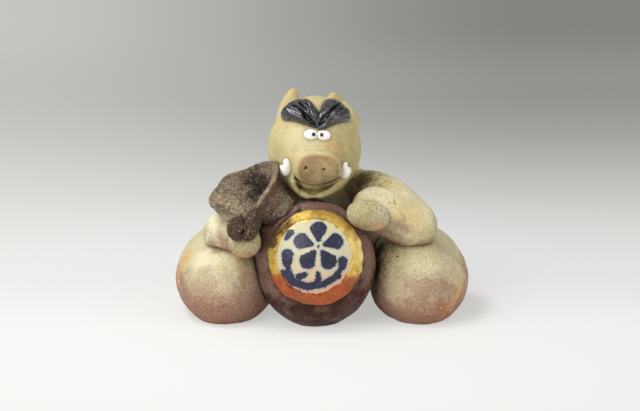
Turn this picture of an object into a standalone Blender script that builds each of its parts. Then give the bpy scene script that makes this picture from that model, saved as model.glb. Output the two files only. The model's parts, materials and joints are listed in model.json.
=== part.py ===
"""Seated boar, a zodiac figurine hand built in stoneware, hugging a treasure sack.

Every lump of clay is its own closed object. The lumps are pressed into each other
and trimmed, so that a slip joint of the same thickness runs between them all.
Units are metres and +Z is up. The boar faces -Y, so its left side is at +X, and
the origin is the middle of the footprint on the ground.
"""

import math

import bmesh
import bpy
from mathutils import Matrix, Quaternion, Vector
from mathutils.bvhtree import BVHTree

# Joints and walls
SLIP = 0.0003           # layer of slip between two pieces
PRESS = 0.0025          # how deep a piece is pushed into the one that carries it
WALL = 0.006            # clay left round a firing hollow
VENT_RADIUS = 0.0020    # hole that lets the steam out of a hollow

# Torso
TORSO_WIDTH = 0.074
TORSO_DEPTH = 0.058
TORSO_HEIGHT = 0.077
TORSO_BACK = 0.0535     # how far behind the origin the back reaches
TORSO_LEAN = 0.010      # how far the shoulders lean forward

# Sack
SACK_WIDTH = 0.0605
SACK_DEPTH = 0.0570
SACK_HEIGHT = 0.0605
SACK_SIDE = -0.0034     # the sack sits a little to the boar's right
SACK_BED = 0.0060       # how deep the sack's back is bedded in the belly

# Legs
LEG_WIDTH = 0.0510
LEG_LENGTH = 0.0800
LEG_HEIGHT = 0.0430
LEG_SPREAD = 0.1508     # over both knees
LEG_BACK = 0.0350       # how far behind the origin the thighs reach
KNEE_SLOPE = {1: 0.19, -1: 0.08}    # how much the outer top falls away, left and right

# Head
HEAD_WIDTH = 0.0473
HEAD_DEPTH = 0.0450
HEAD_HEIGHT = 0.0510
HEAD_SIDE = -0.0040
HEAD_BEHIND = 0.0158    # how far behind the middle of the sack the head's middle is
HEAD_ROLL = math.radians(3.5)
CHIN_PRESS = 0.0004     # how deep the chin is pressed into the top of the sack
MOUTH_WIDTH = 0.0222
MOUTH_SIDE = 0.0021      # from the head's middle to the mouth's
MOUTH_SKEW = 0.30        # share of its half width that the lower lip hangs to the right
MOUTH_DEPTH = 0.0045
MOUTH_DROP = 0.0115     # from the head's middle down to the corners of the mouth
MOUTH_TOP = 0.0020      # from the corners up to the roof of the mouth
LIP_HEIGHT = 0.0118     # from the corners down to the lower lip

# Snout
SNOUT_WIDTH = 0.0228
SNOUT_HEIGHT = 0.0170
SNOUT_LENGTH = 0.0180
SNOUT_OUT = 0.0085      # how far it stands out of the face
SNOUT_AZIMUTH = 5.5      # degrees from the head's middle to the snout's
NOSTRIL_RADIUS = 0.0012
NOSTRIL_SPACING = 0.0088
NOSTRIL_SIDE = -0.0014   # from the snout's middle to the middle between the nostrils
NOSTRIL_DEPTH = 0.0030

# Ears, brows, eyes and tusks
EAR_LENGTH = 0.0225      # from the tip to the root inside the head
EAR_WIDTH = 0.0131
EAR_THICKNESS = 0.0100
EAR_TAPER = 0.47        # share of its width that an ear loses from root to tip
RIGHT_EAR_TIP = (-0.0121, 0.0010, 0.0286)   # from the middle of the head, level with its roll
LEFT_EAR_TIP = (0.0065, 0.0010, 0.0273)
RIGHT_EAR_LEAN = math.radians(10)
LEFT_EAR_LEAN = math.radians(36)
BROW_LENGTH = 0.0225
BROW_WIDTH = 0.0150
BROW_THICKNESS = 0.0050
BROW_SLANT = math.radians(21)
BROW_GROOVES = (math.radians(-6), math.radians(10), math.radians(24))
GROOVE_DEPTH = 0.0016
GROOVE_WIDTH = 0.0010
EYE_WIDTH = 0.0071
EYE_HEIGHT = 0.0050
EYE_THICKNESS = 0.0040
PUPIL_RADIUS = 0.0010
PUPIL_THICKNESS = 0.0014
TUSK_LENGTH = 0.0088
TUSK_WIDTH = 0.0058
TUSK_THICKNESS = 0.0040
TAIL_RADIUS = 0.0030

# Arms: the shoulders and elbows lie from the middle of the belly's front, at the ground
LEFT_ARM_RADIUS = 0.0110
RIGHT_ARM_RADIUS = 0.0088
ARM_RISE = 0.48         # how far an upper arm arches up, as a share of its radius
RIGHT_WRIST_RADIUS = 0.0082
LEFT_SHOULDER = (0.0200, 0.0085, 0.0612)
LEFT_ELBOW = (0.0454, -0.0172, 0.0476)
RIGHT_SHOULDER = (-0.0220, 0.0085, 0.0600)
RIGHT_ELBOW = (-0.0500, -0.0195, 0.0441)

# Wrists and hands, which lie from the middle of the sack that they hold
LEFT_WRIST = (0.0296, -0.0005, 0.0286)
LEFT_HAND = (0.0257, -0.0130, 0.0268)
RIGHT_WRIST = (-0.0356, -0.0075, 0.0162)
RIGHT_HAND = (-0.0348, -0.0152, 0.0138)
HAND_WIDTH = 0.0215
HAND_HEIGHT = 0.0140
HAND_THICKNESS = 0.0150
GRIP_WIDTH = 0.0156
GRIP_HEIGHT = 0.0142
GRIP_THICKNESS = 0.0185

# Mouth of the sack
NECK_RADIUS = 0.0098
RIM_RADIUS = 0.0180
RIM_OFFSET = (-0.0146, -0.0043, 0.0114)     # the middle of the rim, from the neck
MOUTH_WALL = 0.0020
THROAT_RADIUS = 0.0074   # the way down into the sack
THROAT_DEPTH = 0.0130
PLEAT_DEPTH = 0.0008
FOLD_OFFSET = (-0.0184, -0.0222, -0.0043)   # the middle of the fold's round petal, from the neck
FOLD_WIDTH = 0.0108
FOLD_DEPTH = 0.0090
FOLD_HEIGHT = 0.0115
TONGUE_OFFSET = (-0.0114, -0.0222, -0.0026)  # the middle of its long petal
TONGUE_WIDTH = 0.0085
TONGUE_DEPTH = 0.0100
TONGUE_LENGTH = 0.0165

# Gathers, rolls of the sack's clay that run from its neck to under the chin. Each spot is
# the way to it from the middle of the sack
GATHER_RADIUS = 0.0022
GATHER_SINK = 0.0006    # how far the middle of a gather lies under the skin of the sack
UPPER_GATHER = [
    (-0.33, -0.28, 0.89),
    (-0.19, -0.25, 0.95),
    (0.05, -0.18, 0.98),
    (0.27, -0.12, 0.95),
    (0.41, -0.13, 0.90),
    (0.48, -0.20, 0.85),
]
LOWER_GATHER = [
    (-0.88, 0.12, 0.49),
    (-0.84, -0.12, 0.52),
    (-0.64, -0.36, 0.68),
    (-0.45, -0.43, 0.78),
    (-0.25, -0.42, 0.87),
]

# Medallion on the front of the sack
MEDALLION_RADIUS = 0.0233
RING_WIDTH = 0.0045
RING_SHIFT = 0.0008     # the field lies off centre in its ring
RELIEF = 0.0012         # how far the medallion stands out of the sack
MEDALLION_TILT = 21.0   # degrees above level

LEFT = 1
RIGHT = -1
UP = Vector((0, 0, 1))
SMOOTH_ANGLE = math.radians(60)


def clear_scene():
    for old in list(bpy.data.objects):
        bpy.data.objects.remove(old, do_unlink=True)


def new_collection(name, shown=True):
    collection = bpy.data.collections.new(name)
    collection.hide_render = not shown
    bpy.context.scene.collection.children.link(collection)
    return collection


def material(name, colour, roughness, metallic=0.0):
    made = bpy.data.materials.new(name)
    made.use_nodes = True
    shader = made.node_tree.nodes["Principled BSDF"]
    shader.inputs["Base Color"].default_value = (*colour, 1.0)
    shader.inputs["Roughness"].default_value = roughness
    shader.inputs["Metallic"].default_value = metallic
    return made


clear_scene()
FIGURINE = new_collection("boar_figurine")
CUTTERS = new_collection("cutters", shown=False)

BUFF_CLAY = material("buff_clay", (0.56, 0.47, 0.28), 0.75)
BROWN_CLAY = material("brown_clay", (0.16, 0.11, 0.09), 0.80)
BLACK_GLAZE = material("black_glaze", (0.03, 0.025, 0.03), 0.25)
WHITE_CLAY = material("white_clay", (0.80, 0.78, 0.72), 0.35)
GOLD_LUSTRE = material("gold_lustre", (0.80, 0.55, 0.16), 0.35, metallic=0.8)
CREAM_GLAZE = material("cream_glaze", (0.72, 0.64, 0.46), 0.25)


def add_object(name, mesh, finish=None, collection=FIGURINE):
    mesh.shade_smooth()
    mesh.set_sharp_from_angle(angle=SMOOTH_ANGLE)
    placed = bpy.data.objects.new(name, mesh)
    if finish:
        mesh.materials.append(finish)
    if collection is CUTTERS:
        placed.hide_render = True
        placed.display_type = "WIRE"
    collection.objects.link(placed)
    return placed


def grabbed(point, grabs):
    """The point after each grab has pulled it: a grab is (where, reach, pull) on the unit ball."""
    moved = point.copy()
    for where, reach, pull in grabs:
        share = max(0.0, 1.0 - ((point - Vector(where)).length / reach) ** 2)
        moved += Vector(pull) * share * share
    return moved


def squared(point, squareness):
    """A point of the unit ball moved out towards the box round it: 2 leaves the ball round."""
    length = sum(abs(c) ** squareness for c in point) ** (1.0 / squareness)
    return point / length


def lump(name, size, finish, grabs=(), squareness=2.0, segments=20, rings=12,
         collection=FIGURINE):
    """A ball of clay of this size, squared off and pulled about by grabs."""
    ball = bmesh.new()
    bmesh.ops.create_uvsphere(ball, u_segments=segments, v_segments=rings, radius=1.0)
    half = Vector(size) / 2
    for vert in ball.verts:
        vert.co = grabbed(squared(vert.co, squareness), grabs) * half
    mesh = bpy.data.meshes.new(name)
    ball.to_mesh(mesh)
    ball.free()
    return add_object(name, mesh, finish, collection)


def place(piece, location, turn=None):
    """Moves the piece to its place, and turns it if a rotation is given."""
    rotation = turn.to_matrix().to_4x4() if turn else Matrix.Identity(4)
    piece.matrix_basis = Matrix.Translation(location) @ rotation
    return piece


def facing(direction, up=UP, roll=0.0):
    """The rotation that turns a piece's -Y towards direction and keeps its Z near up."""
    back = -Vector(direction).normalized()
    side = back.cross(up).normalized()
    top = side.cross(back)
    return (Matrix((side, back, top)).transposed() @ Matrix.Rotation(roll, 3, "Y")).to_quaternion()


def stand_flat(piece):
    """Cuts the piece off level with the ground."""
    to_local = piece.matrix_basis.inverted()
    shaped = bmesh.new()
    shaped.from_mesh(piece.data)
    cut = bmesh.ops.bisect_plane(
        shaped, geom=shaped.verts[:] + shaped.edges[:] + shaped.faces[:],
        plane_co=to_local @ Vector((0, 0, 0)), plane_no=to_local.to_3x3() @ UP,
        clear_inner=True)
    rim = [edge for edge in cut["geom_cut"] if isinstance(edge, bmesh.types.BMEdge)]
    bmesh.ops.contextual_create(shaped, geom=rim)
    bmesh.ops.recalc_face_normals(shaped, faces=shaped.faces)
    shaped.to_mesh(piece.data)
    shaped.free()


def swollen(piece, gap, name):
    """A cutter: the piece as modelled, before any trimming, swollen by gap."""
    mesh = piece.data.copy()
    mesh.materials.clear()
    normals = [vert.normal.copy() for vert in mesh.vertices]
    for vert, normal in zip(mesh.vertices, normals):
        vert.co += normal * gap
    cutter = add_object(name, mesh, collection=CUTTERS)
    cutter.matrix_basis = piece.matrix_basis
    return cutter


def cut(piece, cutter):
    """Notes the cutter among those that are taken away from the piece."""
    name = f"{piece.name}_cuts"
    group = bpy.data.collections.get(name)
    if not group:
        group = bpy.data.collections.new(name)
        CUTTERS.children.link(group)
    group.objects.link(cutter)


def make_cuts():
    """Gives every piece that has cutters one Boolean, which takes all of them away at once."""
    for piece in bpy.data.objects:
        group = bpy.data.collections.get(f"{piece.name}_cuts")
        if group:
            trim = piece.modifiers.new("cuts", "BOOLEAN")
            trim.operation = "DIFFERENCE"
            trim.solver = "EXACT"
            trim.operand_type = "COLLECTION"
            trim.collection = group


def combine(piece, other, operation):
    """Adds the other shape to the piece, or keeps only what both share."""
    joint = piece.modifiers.new(other.name, "BOOLEAN")
    joint.operation = operation
    joint.solver = "EXACT"
    joint.object = other


def press(piece, *neighbours, gap=SLIP):
    """Trims the piece where it lies inside its neighbours, and leaves gap between them."""
    for neighbour in neighbours:
        cut(piece, swollen(neighbour, gap, f"{piece.name}_press_{neighbour.name}"))


def surface_point(piece, start, direction):
    """Where a line from inside the piece leaves it as modelled, and the way it faces there."""
    to_local = piece.matrix_basis.inverted()
    way = (to_local.to_3x3() @ Vector(direction)).normalized()
    shaped = bmesh.new()
    shaped.from_mesh(piece.data)
    skin = BVHTree.FromBMesh(shaped)
    shaped.free()
    point, normal, _, _ = skin.ray_cast(to_local @ Vector(start), way)
    if point is None:
        raise RuntimeError(f"no surface of {piece.name} in that direction")
    return piece.matrix_basis @ point, (piece.matrix_basis.to_3x3() @ normal).normalized()


def heading(azimuth, elevation):
    """A direction from degrees: azimuth 0 faces the front, and grows towards the boar's left."""
    a, e = math.radians(azimuth), math.radians(elevation)
    return Vector((math.sin(a) * math.cos(e), -math.cos(a) * math.cos(e), math.sin(e)))


def middle(piece):
    return piece.matrix_basis.translation.copy()


def rod(name, start, direction, radius, length, segments=12):
    """A round cutter from start along direction."""
    shaped = bmesh.new()
    bmesh.ops.create_cone(shaped, cap_ends=True, segments=segments, radius1=radius,
                          radius2=radius, depth=length)
    mesh = bpy.data.meshes.new(name)
    shaped.to_mesh(mesh)
    shaped.free()
    cutter = add_object(name, mesh, collection=CUTTERS)
    way = Vector(direction).normalized()
    place(cutter, Vector(start) + way * length / 2, way.to_track_quat("Z", "Y"))
    return cutter


def through(points, count):
    """Points along a smooth curve through the given ones, closer together near both ends."""
    knots = [points[0] * 2 - points[1], *points, points[-1] * 2 - points[-2]]
    spans = len(points) - 1
    found = []
    for step in range(count + 1):
        along = (1 - math.cos(math.pi * step / count)) / 2 * spans
        span = min(int(along), spans - 1)
        t = along - span
        a, b, c, d = knots[span:span + 4]
        found.append(0.5 * (2 * b + (c - a) * t + (2 * a - 5 * b + 4 * c - d) * t * t
                            + (3 * b - a - 3 * c + d) * t ** 3))
    return found


def roll(name, points, radii, finish, count=12, bevel_resolution=3, collection=FIGURINE):
    """A roll of clay along a smooth path, with a radius at each point and round ends."""
    first = points[0] + (points[0] - points[1]).normalized() * radii[0]
    last = points[-1] + (points[-1] - points[-2]).normalized() * radii[-1]
    path = through([Vector((*p, r)) for p, r in zip((first, *points, last),
                                                    (radii[0], *radii, radii[-1]))], count)
    places = [p.to_3d() for p in path]
    run = [0.0]
    for a, b in zip(places, places[1:]):
        run.append(run[-1] + (b - a).length)
    line = bpy.data.curves.new(name, "CURVE")
    line.dimensions = "3D"
    line.bevel_depth = 1.0
    line.bevel_resolution = bevel_resolution
    line.use_fill_caps = True
    spline = line.splines.new("POLY")
    spline.points.add(len(path) - 1)
    for point, spot, full, here in zip(spline.points, places, path, run):
        end = min(here, run[-1] - here)
        thin = min(1.0, max(end, 0.04 * full[3]) / full[3])
        point.co = (*spot, 1.0)
        point.radius = full[3] * math.sqrt(1 - (1 - thin) ** 2)
    guide = bpy.data.objects.new(name + "_line", line)
    CUTTERS.objects.link(guide)
    bpy.context.view_layer.update()
    mesh = bpy.data.meshes.new_from_object(guide.evaluated_get(bpy.context.evaluated_depsgraph_get()))
    mesh.name = name
    bpy.data.objects.remove(guide)
    welded = bmesh.new()
    welded.from_mesh(mesh)
    bmesh.ops.remove_doubles(welded, verts=welded.verts, dist=1e-6)
    bmesh.ops.recalc_face_normals(welded, faces=welded.faces)
    welded.to_mesh(mesh)
    welded.free()
    mesh.materials.clear()
    return add_object(name, mesh, finish, collection)


def hollow(piece, core, neighbours, vent_at):
    """Scoops the firing hollow out of the piece, and drills its vent down through the base."""
    press(core, *neighbours, gap=WALL)
    cut(piece, core)
    start = Vector((vent_at.x, vent_at.y, -PRESS))
    cut(piece, rod(f"{piece.name}_vent", start, UP, VENT_RADIUS, vent_at.z + PRESS))


# Torso: an egg of clay that leans forward at the shoulders.

def torso_shape(name, finish=BUFF_CLAY, shrink=0.0, collection=FIGURINE, **detail):
    size = (TORSO_WIDTH - 2 * shrink, TORSO_DEPTH - 2 * shrink, TORSO_HEIGHT * 1.06 - 2 * shrink)
    lean = TORSO_LEAN * 2 / TORSO_DEPTH
    grabs = [
        ((0, 0, 1.0), 1.7, (0, -lean, 0)),
        ((0.9, 0, 0.9), 1.0, (-0.10, 0, 0)),
        ((-0.9, 0, 0.9), 1.0, (0.10, 0, 0)),
    ]
    made = lump(name, size, finish, grabs, squareness=2.2, collection=collection, **detail)
    place(made, (0, TORSO_BACK - TORSO_DEPTH / 2, TORSO_HEIGHT - TORSO_HEIGHT * 0.53))
    return made


def torso_core(name):
    return torso_shape(name, None, WALL, CUTTERS, segments=12, rings=8)


# Sack: a ball that sags a little and is drawn out towards its neck.

NECK_WAY = Vector((-0.58, -0.06, 0.81)).normalized()
SACK_MIDDLE = Vector((
    SACK_SIDE,
    TORSO_BACK - TORSO_DEPTH + SACK_BED - SACK_DEPTH / 2,
    SACK_HEIGHT * 0.48,
))


def sack_shape(name, finish=BROWN_CLAY, shrink=0.0, collection=FIGURINE, **detail):
    size = (SACK_WIDTH - 2 * shrink, SACK_DEPTH - 2 * shrink, SACK_HEIGHT * 1.04 - 2 * shrink)
    grabs = [
        (NECK_WAY, 0.8, NECK_WAY * 0.06),
        ((-0.85, 0, 0.45), 0.7, (-0.07, 0, 0.03)),
        ((0.75, 0, 0.75), 0.8, (-0.03, 0, -0.03)),
        ((0, -0.7, -0.8), 0.9, (0, -0.04, -0.04)),
    ]
    made = lump(name, size, finish, grabs, squareness=2.05, collection=collection, **detail)
    return place(made, SACK_MIDDLE)


def sack_core(name):
    return sack_shape(name, None, WALL, CUTTERS, segments=12, rings=8)


# Legs: folded thighs, broad at the knee and sagging to the ground.

def leg_shape(name, side, finish=BUFF_CLAY, shrink=0.0, collection=FIGURINE, **detail):
    size = (LEG_WIDTH - 2 * shrink, LEG_LENGTH - 2 * shrink, LEG_HEIGHT * 1.12 - 2 * shrink)
    grabs = [
        ((0, 1, 0), 1.3, (-0.30 * side, 0, -0.10)),
        ((-0.8 * side, -0.5, -0.7), 1.0, (-0.10 * side, 0, 0)),
        ((0.8 * side, -0.3, 0.8), 0.9, (-KNEE_SLOPE[side] * side, 0, -KNEE_SLOPE[side] * 0.75)),
        ((0, -1, -0.6), 0.9, (0, -0.08, -0.10)),
    ]
    made = lump(name, size, finish, grabs, squareness=2.25, collection=collection, **detail)
    place(made, (
        side * (LEG_SPREAD - LEG_WIDTH) / 2,
        LEG_BACK - LEG_LENGTH / 2,
        LEG_HEIGHT * 0.44,
    ))
    return made


def leg_core(name, side):
    return leg_shape(name, side, None, WALL, CUTTERS, segments=12, rings=8)


# Head: an egg, widest at the cheeks.

HEAD_MIDDLE = Vector((
    HEAD_SIDE,
    SACK_MIDDLE.y + HEAD_BEHIND,
    SACK_HEIGHT - CHIN_PRESS + HEAD_HEIGHT / 2,
))
HEAD_TURN = facing((0, -1, 0), roll=HEAD_ROLL)


def head_shape(name, finish=BUFF_CLAY, shrink=0.0, collection=FIGURINE, **detail):
    size = (HEAD_WIDTH - 2 * shrink, HEAD_DEPTH - 2 * shrink, HEAD_HEIGHT - 2 * shrink)
    grabs = [
        ((0.8, 0, 0.9), 0.9, (-0.06, 0, 0)),
        ((-0.8, 0, 0.9), 0.9, (0.06, 0, 0)),
        ((0, -0.7, -0.8), 0.8, (0, -0.14, -0.09)),
    ]
    made = lump(name, size, finish, grabs, squareness=2.1, collection=collection, **detail)
    return place(made, HEAD_MIDDLE, HEAD_TURN)


def head_core(name):
    return head_shape(name, None, WALL, CUTTERS, segments=12, rings=8)


def on_head(head, azimuth, elevation):
    """A point of the head's skin and the way it faces, from degrees round the head's middle."""
    return surface_point(head, HEAD_MIDDLE, HEAD_TURN @ heading(azimuth, elevation))


def add_snout(head):
    """The snout, a thick pad with two pricked nostrils."""
    skin, way = on_head(head, SNOUT_AZIMUTH, -17)
    way = (HEAD_TURN @ heading(0, -4)).normalized()
    grabs = [
        ((0, -1, 0.7), 0.9, (0, 0.10, -0.04)),
        ((0, -0.8, -1), 1.0, (0, 0.12, 0)),
        ((1, 0, -0.4), 0.8, (0.05, 0, 0)),
        ((-1, 0, -0.4), 0.8, (-0.05, 0, 0)),
    ]
    size = (SNOUT_WIDTH, SNOUT_LENGTH, SNOUT_HEIGHT)
    snout = lump("snout", size, BUFF_CLAY, grabs, squareness=2.7, segments=20, rings=12)
    seat = skin + way * (SNOUT_OUT - SNOUT_LENGTH / 2)
    place(snout, seat, facing(way, HEAD_TURN @ UP))
    for word, side in (("right", RIGHT), ("left", LEFT)):
        across = NOSTRIL_SIDE + side * NOSTRIL_SPACING / 2
        start = seat + HEAD_TURN @ Vector((across, 0, SNOUT_HEIGHT * 0.07))
        tip, _ = surface_point(snout, start, way)
        cut(snout, rod(f"{word}_nostril", tip - way * NOSTRIL_DEPTH, way, NOSTRIL_RADIUS,
                       NOSTRIL_DEPTH + PRESS, segments=8))
    press(snout, head)
    return snout


def carve_mouth(head):
    """Cuts the smiling mouth into the head under the snout, equally deep all over."""
    shaped = bmesh.new()
    bmesh.ops.create_cone(shaped, cap_ends=True, segments=24, radius1=1.0, radius2=1.0, depth=2.0)
    for vert in shaped.verts:
        lower = LIP_HEIGHT if vert.co.y < 0 else MOUTH_TOP
        across = vert.co.x + MOUTH_SKEW * min(0.0, vert.co.y)
        vert.co = (across * MOUTH_WIDTH / 2, vert.co.z * HEAD_DEPTH / 2, vert.co.y * lower)
    bmesh.ops.recalc_face_normals(shaped, faces=shaped.faces)
    mesh = bpy.data.meshes.new("mouth_cut")
    shaped.to_mesh(mesh)
    shaped.free()
    scoop = add_object("mouth_cut", mesh, collection=CUTTERS)
    spot = HEAD_MIDDLE + HEAD_TURN @ Vector((MOUTH_SIDE, -HEAD_DEPTH / 2, -MOUTH_DROP))
    place(scoop, spot, HEAD_TURN @ Quaternion((1, 0, 0), math.radians(8)))
    press(scoop, head, gap=-MOUTH_DEPTH)
    cut(head, scoop)


def add_ears(head, brows):
    """Two pinched ears, broad at the root, the left one leaning further in than the right."""
    for name, side, tip, lean in (("right_ear", RIGHT, RIGHT_EAR_TIP, RIGHT_EAR_LEAN),
                                  ("left_ear", LEFT, LEFT_EAR_TIP, LEFT_EAR_LEAN)):
        top = HEAD_TURN @ Vector((-side * math.sin(lean), 0, math.cos(lean)))
        ear = lump(name, (EAR_WIDTH, EAR_THICKNESS, EAR_LENGTH), BUFF_CLAY, squareness=2.5,
                   segments=14, rings=11)
        for vert in ear.data.vertices:
            rise = 0.5 + vert.co.z / EAR_LENGTH
            vert.co.x *= 1 - EAR_TAPER * rise
            vert.co.y *= 1 - EAR_TAPER * rise
        place(ear, HEAD_MIDDLE + HEAD_TURN @ Vector(tip) - top * EAR_LENGTH / 2,
              facing((0, -1, 0), top))
        press(ear, head, *brows)


def groove(x, z):
    """How deep the combed grooves of a brow are at a point, fanning out from its root."""
    depth = 0.0
    for turn in BROW_GROOVES:
        line = Vector((math.cos(turn), math.sin(turn)))
        spot = Vector((x + BROW_LENGTH * 0.55, z + BROW_WIDTH * 0.10))
        along = spot.dot(line)
        off = (spot - line * along).length
        fade = min(1.0, max(0.0, 3.0 - 3.0 * along / BROW_LENGTH))
        depth = max(depth, GROOVE_DEPTH * fade * math.exp(-(off / GROOVE_WIDTH) ** 2))
    return depth


def add_brow(name, side, head, azimuth, elevation, slant, fullness, lean):
    """One thick brow, a fan of clay combed with grooves and laid round the forehead."""
    brow = lump(name, (BROW_LENGTH, BROW_THICKNESS * 2, BROW_WIDTH), BLACK_GLAZE,
                squareness=2.3, segments=24, rings=14)
    for vert in brow.data.vertices:
        x, y, z = vert.co
        along = 0.5 + x * side / BROW_LENGTH
        z *= 0.42 + 0.62 * along if z < 0 else 0.62 + fullness * along
        z += BROW_WIDTH * 0.12 * math.sin(math.pi * along) - BROW_WIDTH * 0.1
        x += side * lean * max(0.0, z)
        front = max(0.0, -y / BROW_THICKNESS)
        y += groove(x * side, z) * min(1.0, front * 2) + (x * x + z * z) / HEAD_WIDTH
        vert.co = (x, y, z)
    skin, way = on_head(head, azimuth, elevation)
    place(brow, skin, facing(way, HEAD_TURN @ UP, slant))
    press(brow, head)
    return brow


def add_eyes(head, brows):
    """Two white buttons close together, each with a black pupil."""
    made = []
    for word, side, azimuth, look in (("right", RIGHT, -6.2, 0.22), ("left", LEFT, 10.8, -0.17)):
        skin, way = on_head(head, azimuth, 24)
        eye = lump(f"{word}_eye", (EYE_WIDTH, EYE_THICKNESS, EYE_HEIGHT), WHITE_CLAY,
                   squareness=2.2, segments=14, rings=9)
        place(eye, skin, facing(way, HEAD_TURN @ UP))
        pupil = lump(f"{word}_pupil", (PUPIL_RADIUS * 2, PUPIL_THICKNESS, PUPIL_RADIUS * 2),
                     BLACK_GLAZE, segments=10, rings=6)
        inward = HEAD_TURN @ Vector((look * EYE_WIDTH, 0, 0))
        spot, _ = surface_point(eye, middle(eye) + inward, way)
        place(pupil, spot + way * (PUPIL_THICKNESS * 0.25), facing(way, HEAD_TURN @ UP))
        press(pupil, eye)
        press(eye, head, *brows)
        made += [eye, pupil]
    press(made[2], made[0])
    return made


def add_tusks(head, snout):
    """Two pinched white tusks at the corners of the mouth, each with a point and a shoulder."""
    tusks = []
    for name, side, azimuth, elevation in (("right_tusk", RIGHT, -37, -20), ("left_tusk", LEFT, 43.5, -20)):
        skin, way = on_head(head, azimuth, elevation)
        grabs = [
            ((-0.3 * side, 0, 1), 0.9, (-0.10 * side, 0, 0.05)),
            ((side, 0, 0.8), 0.7, (-0.20 * side, 0, -0.25)),
            ((side, 0, 0), 0.8, (0.12 * side, 0, 0)),
        ]
        tusk = lump(name, (TUSK_WIDTH, TUSK_THICKNESS * 1.6, TUSK_LENGTH), WHITE_CLAY, grabs,
                    segments=12, rings=9)
        place(tusk, skin + way * TUSK_THICKNESS * 0.15,
              facing(way.lerp(Vector((0, -1, 0)), 0.8), HEAD_TURN @ UP))
        press(tusk, head, snout)
        tusks.append(tusk)
    return tusks


def add_arm(name, radius, wrist_radius, shoulder, elbow, wrist, neighbours):
    """An upper arm and a forearm, rolled thick and joined at the elbow."""
    upper_path = [shoulder, shoulder.lerp(elbow, 0.5) + UP * radius * ARM_RISE, elbow]
    upper = roll(name, upper_path, [radius * 0.92, radius, radius * 1.15], BUFF_CLAY, count=12)
    fore_path = [elbow, elbow.lerp(wrist, 0.5) - Vector((0, radius * 0.1, 0)), wrist]
    fore_radii = [radius * 1.13, (radius * 1.17 + wrist_radius) / 2, wrist_radius]
    fore = roll(name + "_fore", fore_path, fore_radii, None, count=12, collection=CUTTERS)
    combine(upper, fore, "UNION")
    press(upper, *neighbours)
    return upper, fore


def before_belly(spot):
    """A spot given from the middle of the belly's front, in the figurine's frame."""
    return Vector(spot) + Vector((0, TORSO_BACK - TORSO_DEPTH, 0))


def by_sack(spot):
    """A spot given from the middle of the sack, in the figurine's frame."""
    return SACK_MIDDLE + Vector(spot)


def add_arms(torso, legs, sack, head):
    """Both arms, from the shoulders over the knees and back to the sack."""
    left = add_arm("left_arm", LEFT_ARM_RADIUS, LEFT_ARM_RADIUS, before_belly(LEFT_SHOULDER),
                   before_belly(LEFT_ELBOW), by_sack(LEFT_WRIST), (torso, legs[1], sack, head))
    right = add_arm("right_arm", RIGHT_ARM_RADIUS, RIGHT_WRIST_RADIUS,
                    before_belly(RIGHT_SHOULDER), before_belly(RIGHT_ELBOW),
                    by_sack(RIGHT_WRIST), (torso, legs[0], sack, head))
    return left, right


def add_hands(arms, legs, sack):
    """The left hand laid on the sack, and the right hand under the sack's mouth."""
    left = lump("left_hand", (HAND_WIDTH, HAND_THICKNESS, HAND_HEIGHT), BUFF_CLAY, squareness=2.2,
                segments=18, rings=11)
    place(left, by_sack(LEFT_HAND), facing((0.12, -1, 0.2), roll=math.radians(15)))
    press(left, *arms[0], sack)
    grabs = [((0, 0, -1), 1.0, (0.06, 0, 0))]
    right = lump("right_hand", (GRIP_WIDTH, GRIP_THICKNESS, GRIP_HEIGHT), BUFF_CLAY, grabs,
                 squareness=2.2, segments=18, rings=11)
    place(right, by_sack(RIGHT_HAND), facing((-0.2, -1, 0.1)))
    press(right, *arms[1], sack, legs[0])
    return left, right


# Each point of the rim: degrees round the mouth, how far out it reaches and how far it rises,
# both as shares of the rim's radius.
RIM = [
    (-9, 0.84, 0.06),
    (33, 0.78, 0.02),
    (78, 1.08, 0.02),
    (108, 0.98, 0.08),
    (139, 0.97, 0.01),
    (167, 1.08, 0.13),
    (195, 1.00, 0.16),
    (224, 1.06, 0.21),
    (263, 0.95, 0.06),
    (287, 1.05, -0.04),
    (312, 1.10, -0.12),
]


def rim_curve(count):
    """The ruffled rim as a smooth closed loop round the mouth's own middle, facing +Z."""
    corners = [
        Vector((math.cos(math.radians(turn)) * reach, math.sin(math.radians(turn)) * reach, rise))
        * RIM_RADIUS for turn, reach, rise in RIM]
    found = []
    for step in range(count):
        along = step * len(corners) / count
        span, t = int(along), along % 1.0
        a, b, c, d = (corners[(span + k) % len(corners)] for k in (-1, 0, 1, 2))
        found.append(0.5 * (2 * b + (c - a) * t + (2 * a - 5 * b + 4 * c - d) * t * t
                            + (3 * b - a - 3 * c + d) * t ** 3))
    return found


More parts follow.
